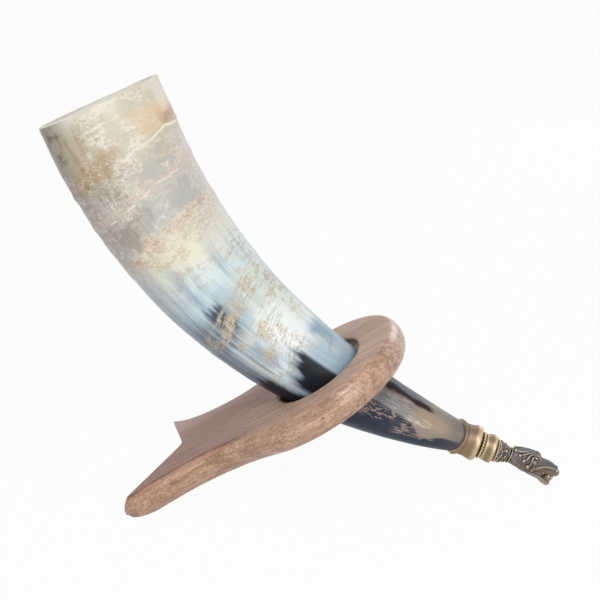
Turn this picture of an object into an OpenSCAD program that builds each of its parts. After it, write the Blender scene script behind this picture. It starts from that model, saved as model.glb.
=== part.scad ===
// Drinking horn with a brass dragon finial, leaning through a wooden stand.
// Millimetres, +Z up. The floor is Z = 0 and the horn bends in the plane Y = 0, mouth towards -X.

/* [Horn] */
// Length of the centre line from the mouth to the ferrule
horn_length = 303; // [285:0.5:325]
// Heading of the centre line below the horizontal at the mouth, in degrees
mouth_heading = 76; // [73:0.1:79]
// Heading below the horizontal a third of the way down, in degrees
upper_heading = 57.2; // [55:0.1:59.5]
// Heading below the horizontal two thirds of the way down, in degrees
lower_heading = 37.9; // [36:0.1:40]
// Heading below the horizontal at the ferrule, in degrees
tip_heading = 22.4; // [21:0.1:24.5]
// Outer diameter of the mouth, measured in the plane of the bend
mouth_d = 75; // [70:0.5:80]
// Outer width of the mouth, measured across the bend
mouth_across = 86; // [75:0.5:92]
// Outer diameter a third of the way down, in the plane of the bend
upper_d = 67; // [63:0.1:72]
// Outer diameter two thirds of the way down, in the plane of the bend
lower_d = 51; // [48:0.1:54]
// Outer diameter where the horn meets the ferrule
tip_d = 20.6; // [19.9:0.1:21.6]
// Lean of the mouth's cut from square, in degrees
mouth_cut = 4.8; // [0:0.1:9]
// Distance down the horn over which that lean fades out
cut_fade = 60; // [40:1:90]
// Wall at the mouth
mouth_wall = 3; // [2.5:0.1:5]
// Wall at the bottom of the hollow, before it closes
deep_wall = 6; // [4:0.1:9]
// Rounding of the mouth's rim
rim_round = 1; // [0.3:0.1:1.2]
// Depth of the hollow along the centre line
hollow_depth = 205; // [150:1:230]
// Length of the hollow's rounded end
hollow_dome = 45; // [25:1:70]

/* [Tenon and stud] */
// Thickness of the pitch bedding round the tenon
bedding_t = 0.4; // [0.3:0.1:1]
// Diameter of the stud that ties the finial to the horn
stud_d = 5; // [3:0.1:6]
// Length of the stud inside the horn
stud_in_horn = 13; // [8:0.5:25]
// Length of the stud inside the dragon head
stud_in_head = 7; // [4:0.1:8]
// Clearance round the stud and the tenon
fit_gap = 0.1; // [0.05:0.01:0.2]

/* [Ferrule] */
// Diameter of the rolled lip
lip_d = 22.7; // [22:0.1:26]
// Length of the rolled lip
lip_len = 6.6; // [4:0.1:8]
// Diameter of the long band
long_band_d = 19.8; // [19:0.1:20.6]
// Length of the long band
long_band_len = 3.6; // [2:0.1:6]
// Diameter of the raised ring after the long band
long_ring_d = 22; // [21:0.1:24]
// Length of the raised ring after the long band
long_ring_len = 7.2; // [5:0.1:9]
// Diameter of the short band
short_band_d = 15.9; // [15:0.1:16.6]
// Length of the short band
short_band_len = 1.2; // [0.8:0.1:3]
// Diameter of the raised ring after the short band
short_ring_d = 17.9; // [17:0.1:19]
// Length of the raised ring after the short band
short_ring_len = 6.4; // [5:0.1:8]
// Thickness of the beaded wire between the bands
upper_wire_d = 2; // [1.4:0.1:2.4]
// Thickness of the beaded wire at the neck
lower_wire_d = 1.2; // [1:0.1:2]
// Wall of the ferrule round the tenon
ferrule_wall = 1.2; // [0.8:0.1:1.8]
// Solid end of the ferrule between the tenon and the beaded wire
ferrule_end = 1.9; // [1:0.1:4]

/* [Dragon head] */
// Length from the ferrule to the nose
head_len = 40.3; // [36:0.1:46]
// Height of the crown above the axis of the tip
crown_h = 7.9; // [7:0.1:9]
// Drop of the chin below the axis of the tip
chin_drop = 10.3; // [8:0.1:12]
// Width across the cheeks
cheek_w = 13.2; // [11:0.1:16]
// Diameter of the neck at the ferrule
neck_d = 13.4; // [12.4:0.1:14]
// Height of the waist between the neck and the head
waist_d = 8.6; // [7.8:0.1:9.4]
// Depth of the mouth's groove on each cheek
mouth_groove = 1.6; // [0.5:0.1:2.2]

/* [Stand] */
// Thickness of the board
board_t = 18; // [15:0.5:22]
// Rise of the board above the floor, in degrees
board_rise = 29.4; // [28:0.1:31]
// Distance up the board from its tail to the horn's centre line, on the top face
hole_reach = 130.8; // [122:0.1:138]
// Place of the near tail tip: up the board, negative where it reaches further back
near_tip_u = -3.2; // [-4:0.1:1]
// Distance of the near tail tip from the middle line
near_tip_v = 39.4; // [37:0.1:44]
// Radius of the near hollow side
near_hollow_r = 150; // [130:1:200]
// Place of the far tail tip: up the board
far_tip_u = 1; // [-1:0.1:2]
// Distance of the far tail tip from the middle line
far_tip_v = 51.6; // [48:0.1:54]
// Radius of the far hollow side
far_hollow_r = 78; // [74:1:110]
// Depth of the notch in the tail
notch_depth = 24.3; // [16:0.1:32]
// Distance of the notch's point from the middle line, towards the far side
notch_off = 4.1; // [0:0.1:6]
// Width of the top face beyond the hole, at the head
ring_end = 21.4; // [18:0.1:28]
// Width of the top face beside the hole
ring_side = 22.4; // [18:0.1:28]
// How far the rounded edge stands out past the top face
edge_round = 4.2; // [2:0.1:5]
// Rounding of the hole's two rims
hole_edge = 1.5; // [1:0.1:3]
// Gap between the horn and the end of the hole that it leans on
seat_gap = 1.5; // [1.4:0.1:3]
// Gap between the horn and the head end of the hole
lift_gap = 1.8; // [1.7:0.1:5]
// Gap between the horn and each side of the hole
side_gap = 6.2; // [3:0.1:8]
// Height taken off the tail's lower corner to make flat feet
foot_cut = 2.2; // [1.6:0.1:3.4]

/* [Hidden] */

// Counts of facets round and along the formed shapes
horn_sides = 48;
horn_stations = 32;
hollow_stations = 22;
dome_stations = 7;
dome_close = 0.99;
path_steps = 150;
head_sides = 32;
head_stations = 34;
hollow_side_steps = 14;
head_steps = 22;
edge_steps = 8;
rim_steps = 3;
turned_fn = 96;

// Places along the axis of the tip, counted from where the horn meets the ferrule
band_at = lip_len;
ring_at = band_at + long_band_len;
wire_at = ring_at + long_ring_len;
short_at = wire_at + upper_wire_d;
short_ring_at = short_at + short_band_len;
neck_wire_at = short_ring_at + short_ring_len;
ferrule_len = neck_wire_at + lower_wire_d;
tenon_len = wire_at - ferrule_end - bedding_t;

// Radii of the tenon's fit and of the two wire seats, each wire sunk by a share of its thickness
wire_sink = 0.25;
wire_round = 0.7;
bore_r = long_band_d / 2 - ferrule_wall;
tenon_r = bore_r - bedding_t - fit_gap;
stud_bore_r = stud_d / 2 + fit_gap;
upper_seat_r = short_band_d / 2 - wire_sink * upper_wire_d;
lower_seat_r = neck_d / 2 - wire_sink * lower_wire_d;

// Dragon head from the ferrule to the nose: share of its length, then top, bottom and half width
neck_r = neck_d / 2;
waist_r = waist_d / 2;
cheek = cheek_w / 2;
head_profile = [
    [0.000, neck_r, -neck_r, neck_r],
    [0.070, 0.98 * neck_r, -0.87 * neck_r, 0.93 * neck_r],
    [0.170, waist_r, -waist_r, 1.05 * waist_r],
    [0.220, 1.20 * waist_r, -1.02 * waist_r, 1.15 * waist_r],
    [0.270, 0.81 * crown_h, -0.48 * chin_drop, 0.80 * cheek],
    [0.375, 0.96 * crown_h, -0.61 * chin_drop, 0.94 * cheek],
    [0.530, crown_h, -0.66 * chin_drop, cheek],
    [0.600, 0.96 * crown_h, -0.67 * chin_drop, 0.98 * cheek],
    [0.650, 0.73 * crown_h, -0.68 * chin_drop, 0.88 * cheek],
    [0.750, 0.60 * crown_h, -0.76 * chin_drop, 0.76 * cheek],
    [0.800, 0.55 * crown_h, -0.91 * chin_drop, 0.70 * cheek],
    [0.855, 0.49 * crown_h, -chin_drop, 0.64 * cheek],
    [0.895, 0.41 * crown_h, -0.86 * chin_drop, 0.60 * cheek],
    [0.920, 0.37 * crown_h, -0.52 * chin_drop, 0.57 * cheek],
    [0.965, 0.27 * crown_h, -0.26 * chin_drop, 0.45 * cheek],
    [1.000, 0.06 * crown_h, -0.10 * chin_drop, 0.16 * cheek]
];
// Mouth's groove: share of the length where it starts and grows full, and its level below the axis
groove_start = 0.66;
groove_run = 0.1;
groove_level = -0.34 * chin_drop;
groove_half = 0.16 * chin_drop;

// Value of the cubic through four values at 0, 1/3, 2/3 and 1
function cubic(a, b, c, d, x) = let (q = 3 * x)
    a * (1 - q) * (2 - q) * (3 - q) / 6 + b * q * (2 - q) * (3 - q) / 2
    + c * q * (q - 1) * (3 - q) / 2 + d * q * (q - 1) * (q - 2) / 6;

// Horn at a distance s down its centre line: heading, outer radius, oval ratio and hollow radius
function share(s) = min(max(s / horn_length, 0), 1);
function heading(s) = cubic(mouth_heading, upper_heading, lower_heading, tip_heading, share(s));
function outer_r(s) = cubic(mouth_d, upper_d, lower_d, tip_d, share(s)) / 2;
function oval(s) = 1 + (mouth_across / mouth_d - 1) * (1 - pow(share(s), 3));
function wall(s) = mouth_wall + (deep_wall - mouth_wall) * s / hollow_depth;
function closing(s) = let (e = max(0, (s - hollow_depth + hollow_dome) / hollow_dome))
    sqrt(max(0, 1 - e * e));
function hollow_r(s) = (outer_r(s) - wall(s)) * closing(s);

// Centre line of the horn from its mouth, as points in X and Z
step_len = horn_length / path_steps;
function step_along(i) = let (h = heading((i + 0.5) * step_len)) step_len * [cos(h), -sin(h)];
path = [for (i = 0, p = [0, 0]; i <= path_steps; p = p + step_along(i), i = i + 1) p];
tip_dir = [cos(tip_heading), -sin(tip_heading)];
tip_up = [sin(tip_heading), cos(tip_heading)];
function path_point(s) = s >= horn_length ? path[path_steps] + (s - horn_length) * tip_dir :
    let (i = min(floor(s / step_len), path_steps - 1))
    path[i] + (s / step_len - i) * (path[i + 1] - path[i]);

// One ring of points square to the centre line, leaning with the mouth's cut near the mouth
function ring_lean(s) = heading(s) - mouth_cut * pow(max(0, 1 - s / cut_fade), 2);
function ring(s, r, ratio) = let (c = path_point(s), h = ring_lean(s))
    [for (i = [0 : horn_sides - 1]) let (a = 360 * i / horn_sides)
        [c[0] + r * cos(a) * sin(h), r * ratio * sin(a), c[1] + r * cos(a) * cos(h)]];

// Dragon head: profile read smoothly between its rows, and rings of points along it
function blend(a, b, c, d, f) =
    b + 0.5 * f * (c - a + f * (2 * a - 5 * b + 4 * c - d + f * (3 * (b - c) + d - a)));
function row_at(x) = max([for (i = [0 : len(head_profile) - 2]) if (head_profile[i][0] <= x) i]);
function profile(x, k) = let (i = row_at(x), last = len(head_profile) - 1,
    f = (x - head_profile[i][0]) / (head_profile[i + 1][0] - head_profile[i][0]))
    blend(head_profile[max(i - 1, 0)][k], head_profile[i][k], head_profile[i + 1][k],
          head_profile[min(i + 2, last)][k], f);
function groove(x, up) = mouth_groove * min(1, max(0, (x - groove_start) / groove_run))
    * max(0, 1 - abs(up - groove_level) / groove_half);
function grooved(side, depth) = side - sign(side) * min(abs(side) / 2, depth);
function head_point(along, across, up) = let (s = horn_length + ferrule_len + along, c = path_point(s))
    [c[0] + up * tip_up[0], across, c[1] + up * tip_up[1]];
function head_ring(x) = let (top = profile(x, 1), low = profile(x, 2), half = profile(x, 3))
    [for (i = [0 : head_sides - 1])
        let (a = 360 * i / head_sides, up = (top + low) / 2 + (top - low) / 2 * cos(a))
        head_point(x * head_len, grooved(half * sin(a), groove(x, up)), up)];
function socket_ring(along, r) = [for (i = [0 : head_sides - 1]) let (a = 360 * i / head_sides)
    head_point(along, r * sin(a), r * cos(a))];
head_rings = concat([socket_ring(stud_in_head, stud_bore_r), socket_ring(0, stud_bore_r)],
    [for (j = [0 : head_stations]) head_ring(j / head_stations)]);

// Place of the horn: the chin touches the floor and the centre line crosses the board at the hole
horn_rise = -min([for (r = head_rings) for (p = r) p[2]]);
tail_z = board_t * cos(board_rise) - foot_cut;
cross_z = tail_z + hole_reach * sin(board_rise);
cross_s = lookup(cross_z, [for (i = [0 : path_steps]) [path[i][1] + horn_rise, i * step_len]]);
tail_from_mouth = path_point(cross_s)[0] - hole_reach * cos(board_rise);

// The origin is midway between the mouth's far edge and the nose
far_left = min([for (p = ring(0, outer_r(0), oval(0))) p[0]]);
far_right = max([for (r = head_rings) for (p = r) p[0]]);
horn_x = -(far_left + far_right) / 2;
tail_x = tail_from_mouth + horn_x;
horn_place = [horn_x, 0, horn_rise];
tip_place = [horn_x + path[path_steps][0], 0, horn_rise + path[path_steps][1]];

// Hole: the horn's section on the top face with its gaps, bored along the lean of the horn
hole_lean = 90 - board_rise - heading(cross_s);
section_half = outer_r(cross_s) / cos(hole_lean);
hole_low = hole_reach - section_half - seat_gap;
hole_high = hole_reach + section_half + lift_gap;
hole_u = (hole_low + hole_high) / 2;
hole_half_u = (hole_high - hole_low) / 2;
hole_half_v = outer_r(cross_s) * oval(cross_s) + side_gap;

// Outline of the top face: round head, hollow sides tangent to it, and a notched, uneven tail
head_r = hole_half_v + ring_side;
head_u = hole_high + ring_end - head_r;

// Each side of the outline is drawn at positive v: 1 is the far side and -1 the near side
function tail_tip(side) = side > 0 ? [far_tip_u, far_tip_v] : [near_tip_u, near_tip_v];
function side_r(side) = side > 0 ? far_hollow_r : near_hollow_r;
function notch_start(side) = [notch_depth, side * notch_off];
function hollow_centre(side) = let (tip = tail_tip(side), r = side_r(side), span = [head_u, 0] - tip,
    far = norm(span), dir = span / far,
    along = (far * far + r * r - pow(head_r + r, 2)) / (2 * far))
    tip + along * dir + sqrt(r * r - along * along) * [-dir[1], dir[0]];
function join_angle(side) = let (c = hollow_centre(side)) atan2(c[1], c[0] - head_u);
function notch_point(side, f) = notch_start(side) + f * (tail_tip(side) - notch_start(side));

// Hollow side from the tail tip to the head, grown outwards by g, which fades out towards the tip.
// The tip itself reaches along the notch's edge by a share of g, bent towards the notch, so it ends blunt.
tail_crowding = 1.6;
blunt_steps = 2;
tip_reach = 0.8;
tip_bend = 0.3;
function reach(side) = let (d = tail_tip(side) - notch_start(side))
    tip_reach * (d + tip_bend * [-d[1], d[0]]) / norm(d);
function hollow_side(side, g) = let (c = hollow_centre(side), tip = tail_tip(side) - c,
    from = atan2(tip[1], tip[0]), to = join_angle(side) + 180, turn = (from < 0 ? from + 360 : from) - to)
    [for (i = [0 : hollow_side_steps])
        let (a = to + turn * (1 - pow(i / hollow_side_steps, tail_crowding)),
            grown = g * min(1, i / blunt_steps), past = i == 0 ? g * reach(side) : [0, 0])
        c + (side_r(side) - grown) * [cos(a), sin(a)] + past];
function head_side(side, g) = [for (i = [1 : head_steps])
    let (a = join_angle(side) * (1 - i / head_steps)) [head_u, 0] + (head_r + g) * [cos(a), sin(a)]];
notch_shares = [0, 0.5];
function notch_side(side) = [for (f = notch_shares) notch_point(side, f)];
function half_outline(side, g) = concat(notch_side(side), hollow_side(side, g), head_side(side, g));
function joined(far, near) = concat(far, [for (i = [len(near) - 2 : -1 : 1]) [near[i][0], -near[i][1]]]);
function whole_outline(g) = joined(half_outline(1, g), half_outline(-1, g));

// The same outline drawn in towards the middle line near the tail, so the hole's centre sees all of it
tail_squeeze = 0.5;
squeeze_run = 60;
tail_middle = [(near_tip_u + far_tip_u) / 2, 0];
function squeezed(p) = [p[0], p[1] * min(1, tail_squeeze + (1 - tail_squeeze) * p[0] / squeeze_run)];
function half_squeezed(side) = concat(
    [for (f = notch_shares) tail_middle + f * (squeezed(tail_tip(side)) - tail_middle)],
    [for (p = concat(hollow_side(side, 0), head_side(side, 0))) squeezed(p)]);
squeezed_outline = joined(half_squeezed(1), half_squeezed(-1));

// Point of the board at u up its length, v across and d below its top face
function board_point(u, v, d) = [tail_x + u * cos(board_rise) + d * sin(board_rise), v,
    tail_z + u * sin(board_rise) - d * cos(board_rise)];
function edge_loop(j) = let (a = 180 * j / edge_steps, d = board_t * (1 - cos(a)) / 2)
    [for (p = whole_outline(edge_round * sin(a))) board_point(p[0], p[1], d)];

// Loop between the outline and the hole at depth d
spread_share = 0.75;
spread_shift = 0.5;
function spread_uv(s, d) = [hole_u + spread_shift * d * tan(hole_lean) + spread_share * (s[0] - hole_u),
    spread_share * s[1]];
function spread_loop(d) = [for (s = squeezed_outline) let (m = spread_uv(s, d)) board_point(m[0], m[1], d)];

// Hole's point on the ray from its centre through the squeezed point s, grown by g, at depth d
function hole_uv(s, g) = let (a = atan2(s[1], s[0] - hole_u), ru = hole_half_u + g, rv = hole_half_v + g,
    r = ru * rv / norm([rv * cos(a), ru * sin(a)])) [hole_u + r * cos(a), r * sin(a)];
function hole_loop(g, d) = [for (s = squeezed_outline) let (h = hole_uv(s, g))
    board_point(h[0] + d * tan(hole_lean), h[1], d)];
function rim_growth(j) = hole_edge * (1 - sin(90 * j / rim_steps));
function rim_depth(j) = hole_edge * (1 - cos(90 * j / rim_steps));

// Block under the floor that cuts the feet flat
foot_block = [2 * hole_reach, 4 * head_r, board_t];

// Solid skinned over a row of rings, closed by its first and last ring
module skin(rings) {
    n = len(rings[0]);
    m = len(rings);
    sides = [for (j = [0 : m - 2]) for (i = [0 : n - 1]) let (a = j * n + i, b = j * n + (i + 1) % n)
        each [[a, b, b + n], [a, b + n, a + n]]];
    ends = [[for (i = [n - 1 : -1 : 0]) i], [for (i = [0 : n - 1]) (m - 1) * n + i]];
    polyhedron([for (r = rings) each r], concat(sides, ends));
}

// Solid skinned over a closed row of loops, as a ring is
module closed_skin(loops) {
    n = len(loops[0]);
    m = len(loops);
    faces = [for (j = [0 : m - 1]) for (i = [0 : n - 1])
        let (k = (i + 1) % n, a = j * n, b = (j + 1) % m * n)
        each [[a + i, b + k, a + k], [a + i, b + i, b + k]]];
    polyhedron([for (l = loops) each l], faces);
}

// Puts its children on the axis of the tip, with Z running towards the nose
module on_tip_axis() {
    translate(tip_place) rotate([0, 90 + tip_heading, 0]) children();
}

// Turned ring on the axis of the tip, from an outline of radius and place along
module turned(outline) {
    on_tip_axis() rotate_extrude($fn = turned_fn) polygon(outline);
}

// Half-round moulding of a turned profile, from one place along to another
function moulding(r, from, to, proud, steps = 6) = [for (i = [0 : steps]) let (a = 180 * i / steps)
    [r - proud + proud * sin(a), (from + to) / 2 - (to - from) / 2 * cos(a)]];

module stand_board() {
    loops = concat([for (j = [0 : edge_steps]) edge_loop(j)], [spread_loop(board_t)],
        [for (j = [0 : rim_steps]) hole_loop(rim_growth(j), board_t - rim_depth(j))],
        [for (j = [rim_steps : -1 : 0]) hole_loop(rim_growth(j), rim_depth(j))], [spread_loop(0)]);
    color("sienna") difference() {
        closed_skin(loops);
        translate([tail_x - foot_block[0] / 2, -foot_block[1] / 2, -foot_block[2]]) cube(foot_block);
    }
}

module horn() {
    end_s = horn_length + tenon_len;
    dome_from = hollow_depth - hollow_dome;
    dome = [for (j = [dome_stations : -1 : 1])
        let (s = dome_from + dome_close * hollow_dome * sin(90 * j / dome_stations))
        ring(s, hollow_r(s), oval(s))];
    inside = [for (j = [hollow_stations : -1 : 0])
        let (s = rim_round + (dome_from - rim_round) * j / hollow_stations)
        ring(s, hollow_r(s), oval(s))];
    rim = [ring(0, hollow_r(0) + rim_round, oval(0)), ring(0, outer_r(0) - rim_round, oval(0))];
    outside = [for (j = [0 : horn_stations])
        let (s = rim_round + (horn_length - rim_round) * j / horn_stations)
        ring(s, outer_r(s), oval(s))];
    tenon = [ring(horn_length, tenon_r, 1), ring(end_s, tenon_r, 1)];
    pocket = [ring(end_s, stud_bore_r, 1), ring(end_s - stud_in_horn, stud_bore_r, 1)];
    color("wheat") translate(horn_place) skin(concat(dome, inside, rim, outside, tenon, pocket));
}

// Pitch that beds the tenon in the ferrule, with a floor under the tenon's end
module tip_bedding() {
    color("black") turned([[tenon_r + fit_gap, 0], [bore_r, 0], [bore_r, tenon_len + bedding_t],
        [stud_bore_r, tenon_len + bedding_t], [stud_bore_r, tenon_len + fit_gap],
        [tenon_r + fit_gap, tenon_len + fit_gap]]);
}

module tip_stud() {
    from = tenon_len - stud_in_horn + fit_gap;
    to = ferrule_len + stud_in_head - fit_gap;
    color("silver") on_tip_axis() translate([0, 0, from])
        cylinder(d = stud_d, h = to - from, $fn = turned_fn);
}

module ferrule() {
    color("darkgoldenrod") turned(concat(
        [[bore_r, 0]], moulding(lip_d / 2, 0, lip_len, (lip_d - long_band_d) / 2),
        moulding(long_ring_d / 2, ring_at, wire_at, (long_ring_d - long_band_d) / 2),
        [[upper_seat_r, wire_at], [upper_seat_r, short_at], [short_band_d / 2, short_at]],
        moulding(short_ring_d / 2, short_ring_at, neck_wire_at, (short_ring_d - short_band_d) / 2),
        [[lower_seat_r, neck_wire_at], [lower_seat_r, ferrule_len], [stud_bore_r, ferrule_len],
         [stud_bore_r, tenon_len + bedding_t], [bore_r, tenon_len + bedding_t]]));
}

// Wire ring seated on the ferrule, flat where it sits and round outside
module bead_wire(seat_r, at, wire_d) {
    round_part = moulding(seat_r + wire_d, at, at + wire_d, wire_d * wire_round);
    color("goldenrod") turned(concat([[seat_r, at]], round_part, [[seat_r, at + wire_d]]));
}

module upper_bead_wire() {
    bead_wire(upper_seat_r, wire_at, upper_wire_d);
}

module lower_bead_wire() {
    bead_wire(lower_seat_r, neck_wire_at, lower_wire_d);
}

module dragon_head() {
    color("peru") translate(horn_place) skin(head_rings);
}

stand_board();
horn();
tip_bedding();
tip_stud();
ferrule();
upper_bead_wire();
lower_bead_wire();
dragon_head();
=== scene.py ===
"""Drinking horn with a brass finial on its wooden stand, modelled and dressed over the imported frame."""

import math

import bpy
import numpy as np
from mathutils import Matrix, Vector


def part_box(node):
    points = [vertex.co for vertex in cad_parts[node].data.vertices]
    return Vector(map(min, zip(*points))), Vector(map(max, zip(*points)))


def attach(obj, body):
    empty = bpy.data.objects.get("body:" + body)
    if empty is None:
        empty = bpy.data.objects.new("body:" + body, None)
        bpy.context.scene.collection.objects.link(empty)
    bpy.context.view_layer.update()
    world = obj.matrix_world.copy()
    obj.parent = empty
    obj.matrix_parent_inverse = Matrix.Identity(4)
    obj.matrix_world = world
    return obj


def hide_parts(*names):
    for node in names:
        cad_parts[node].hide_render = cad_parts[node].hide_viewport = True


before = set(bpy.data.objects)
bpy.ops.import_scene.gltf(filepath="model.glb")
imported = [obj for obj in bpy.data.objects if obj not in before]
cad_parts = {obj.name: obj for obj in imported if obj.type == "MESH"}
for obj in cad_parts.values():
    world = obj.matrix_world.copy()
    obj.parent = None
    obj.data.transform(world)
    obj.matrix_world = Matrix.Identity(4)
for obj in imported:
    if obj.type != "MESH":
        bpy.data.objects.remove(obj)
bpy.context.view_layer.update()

bl_info = {
    "name": "Drinking Horn on a Stand",
    "version": (1, 0, 0),
    "blender": (4, 5, 0),
    "location": "3D View > Sidebar > Drinking Horn",
    "description": "Models and dresses a drinking horn, its brass finial and its wooden stand",
    "category": "Add Mesh",
}

MM = 0.001
FULL_TURN = 2 * math.pi
MERGE_DISTANCE = 0.002 * MM
PATH_STEPS = 150
# Angle round the horn where its skin begins, in degrees from the top
SEAM = -270
# The ferrule's lip is cut back in a scallop this deep, in millimetres, that is turned by this many degrees
SCALLOP = 5.7
SCALLOP_TURN = 58


# Settings

def linear(red, green, blue):
    """Scene colour of a screen colour written from 0 to 255."""
    shares = [level / 255 for level in (red, green, blue)]
    return tuple(c / 12.92 if c <= 0.04045 else ((c + 0.055) / 1.055) ** 2.4 for c in shares)


def a_length(name, millimetres, description):
    return bpy.props.FloatProperty(name=name, description=description, default=millimetres * MM,
                                   unit="LENGTH")


def an_angle(name, degrees, description):
    return bpy.props.FloatProperty(name=name, description=description, default=math.radians(degrees),
                                   subtype="ANGLE", unit="ROTATION")


def a_colour(name, screen, description):
    return bpy.props.FloatVectorProperty(name=name, description=description, default=linear(*screen),
                                         size=3, min=0, max=1, subtype="COLOR")


class HornSizes(bpy.types.PropertyGroup):
    """Sizes of the horn."""
    curve: a_length("Curve", 303, "Length of the horn along its curve")
    mouth_heading: an_angle("Mouth heading", 76, "Way of the centre line below level at the mouth")
    upper_heading: an_angle("Upper heading", 57.2, "Way of the centre line a third of the way down")
    lower_heading: an_angle("Lower heading", 37.9, "Way of the centre line two thirds of the way down")
    tip_heading: an_angle("Tip heading", 22.4, "Way of the centre line at the tip")
    mouth_d: a_length("Mouth diameter", 75, "Diameter of the mouth in the plane of the bend")
    mouth_across: a_length("Mouth width", 86, "Width of the mouth across the plane of the bend")
    upper_d: a_length("Upper diameter", 67, "Diameter a third of the way down")
    lower_d: a_length("Lower diameter", 51, "Diameter two thirds of the way down")
    tip_d: a_length("Tip diameter", 20.6, "Diameter where the ferrule begins")
    mouth_cut: an_angle("Mouth cut", 4.8, "Slant of the flat cut across the mouth")
    cut_fade: a_length("Cut fade", 60, "Length over which the slant fades out")
    mouth_wall: a_length("Mouth wall", 3, "Thickness of the wall at the mouth")
    deep_wall: a_length("Deep wall", 6, "Thickness of the wall at the bottom of the hollow")
    hollow_depth: a_length("Hollow depth", 205, "Depth of the hollow along the curve")
    hollow_dome: a_length("Hollow dome", 45, "Length of the rounded bottom of the hollow")


class StandSizes(bpy.types.PropertyGroup):
    """Sizes of the stand board."""
    thickness: a_length("Thickness", 18, "Thickness of the board")
    rise: an_angle("Rise", 29.4, "Slope of the board's top face")
    foot_cut: a_length("Foot cut", 2.2, "Depth cut off the tail's lower edge for the feet")
    hole_reach: a_length("Hole reach", 130.8, "Place up the board where the horn's middle goes through")
    seat_gap: a_length("Seat gap", 1.5, "Room below the horn in the hole")
    lift_gap: a_length("Lift gap", 1.8, "Room above the horn in the hole")
    side_gap: a_length("Side gap", 6.2, "Room beside the horn in the hole")
    ring_side: a_length("Ring side", 22.4, "Wood left beside the hole")
    ring_end: a_length("Ring end", 21.4, "Wood left beyond the hole")
    near_tip_u: a_length("Near tip along", -7.6, "Place of the near tail tip along the board")
    near_tip_v: a_length("Near tip across", 39.3, "Place of the near tail tip across the board")
    far_tip_u: a_length("Far tip along", -1, "Place of the far tail tip along the board")
    far_tip_v: a_length("Far tip across", 60, "Place of the far tail tip across the board")
    near_hollow_r: a_length("Near hollow", 142, "Radius of the near hollow side")
    far_hollow_r: a_length("Far hollow", 78, "Radius of the far hollow side")
    far_swell: a_length("Far swell", 3.6, "How far the head is fuller on its far side")
    far_warp: a_length("Far warp", 2.2, "How far the head's far side is warped upwards")
    notch_depth: a_length("Notch depth", 24.3, "Depth of the notch in the tail")
    notch_off: a_length("Notch offset", 4.1, "Distance of the notch's point from the middle line")
    bulge: a_length("Edge bulge", 4.2, "How far the rounded edge stands out")
    hole_edge: a_length("Hole edge", 2.2, "Rounding of the hole's rim")


class Finishes(bpy.types.PropertyGroup):
    """Colours of the finishes."""
    cream: a_colour("Cream", (225, 221, 205), "Pale horn near the mouth")
    ice: a_colour("Ice", (208, 226, 230), "Bluish white of the middle of the horn")
    peach: a_colour("Peach", (214, 186, 158), "Warm growth bands of the horn")
    taupe: a_colour("Taupe", (154, 143, 132), "Grey brown near the tip of the horn")
    slate: a_colour("Slate", (48, 56, 74), "Dark blue grey of the horn's underside")
    # Also laid on as painted contact shadow where the ferrule's lip meets the horn
    flame_black_and_shadow: a_colour("Flame black and shadow", (22, 23, 30), "Black flames of the horn")
    scar: a_colour("Scar", (198, 178, 150), "Abrasion on the horn")
    wood: a_colour("Wood", (208, 170, 142), "Main tone of the board")
    wood_dark: a_colour("Dark grain", (126, 87, 68), "Grain and pores of the board")
    brass: a_colour("Brass", (152, 127, 93), "Metal of the ferrule and finial")
    brass_worn: a_colour("Worn brass", (196, 178, 146), "Polished edges of the metal")
    # Painted reflection, laid on the metal's upward faces
    upper_reflection_brown: a_colour("Reflected brown", (138, 115, 95), "Browned metal on upper sides")
    patina: a_colour("Patina", (46, 48, 56), "Dark film in the hollows of the metal")
    haze: a_colour("Haze", (95, 98, 105), "Grey film on the open sides of the casting")


# Helpers for the modelling

def cubic(values, share):
    """Curve through four values at 0, 1/3, 2/3 and 1."""
    thirds = 3 * share
    first, second, third, fourth = values
    return (first * (1 - thirds) * (2 - thirds) * (3 - thirds) / 6
            + second * thirds * (2 - thirds) * (3 - thirds) / 2
            + third * thirds * (thirds - 1) * (3 - thirds) / 2
            + fourth * thirds * (thirds - 1) * (thirds - 2) / 6)


def ease(value, start, end):
    """0 at start, 1 at end and a smooth change between them."""
    share = np.clip((value - start) / (end - start), 0, 1)
    return share * share * (3 - 2 * share)


def ripple(turn, along, seed, pitch, terms=7):
    """Gentle irregular waves round and along a piece, between about -1 and 1."""
    chance = np.random.default_rng(seed)
    total = 0
    for _ in range(terms):
        waves = int(chance.integers(0, 6))
        total = total + np.sin(waves * turn + FULL_TURN * along * chance.uniform(0.3, 1.6) / pitch
                               + chance.uniform(0, FULL_TURN))
    return total / math.sqrt(terms)


def deselect():
    bpy.ops.object.select_all(action="DESELECT")


def corners(piece):
    """Places of a piece's corners, one row each."""
    flat = np.empty(len(piece.data.vertices) * 3)
    piece.data.vertices.foreach_get("co", flat)
    return flat.reshape(-1, 3)


def move_corners(piece, places):
    piece.data.vertices.foreach_set("co", places.ravel())
    piece.data.update()


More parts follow.
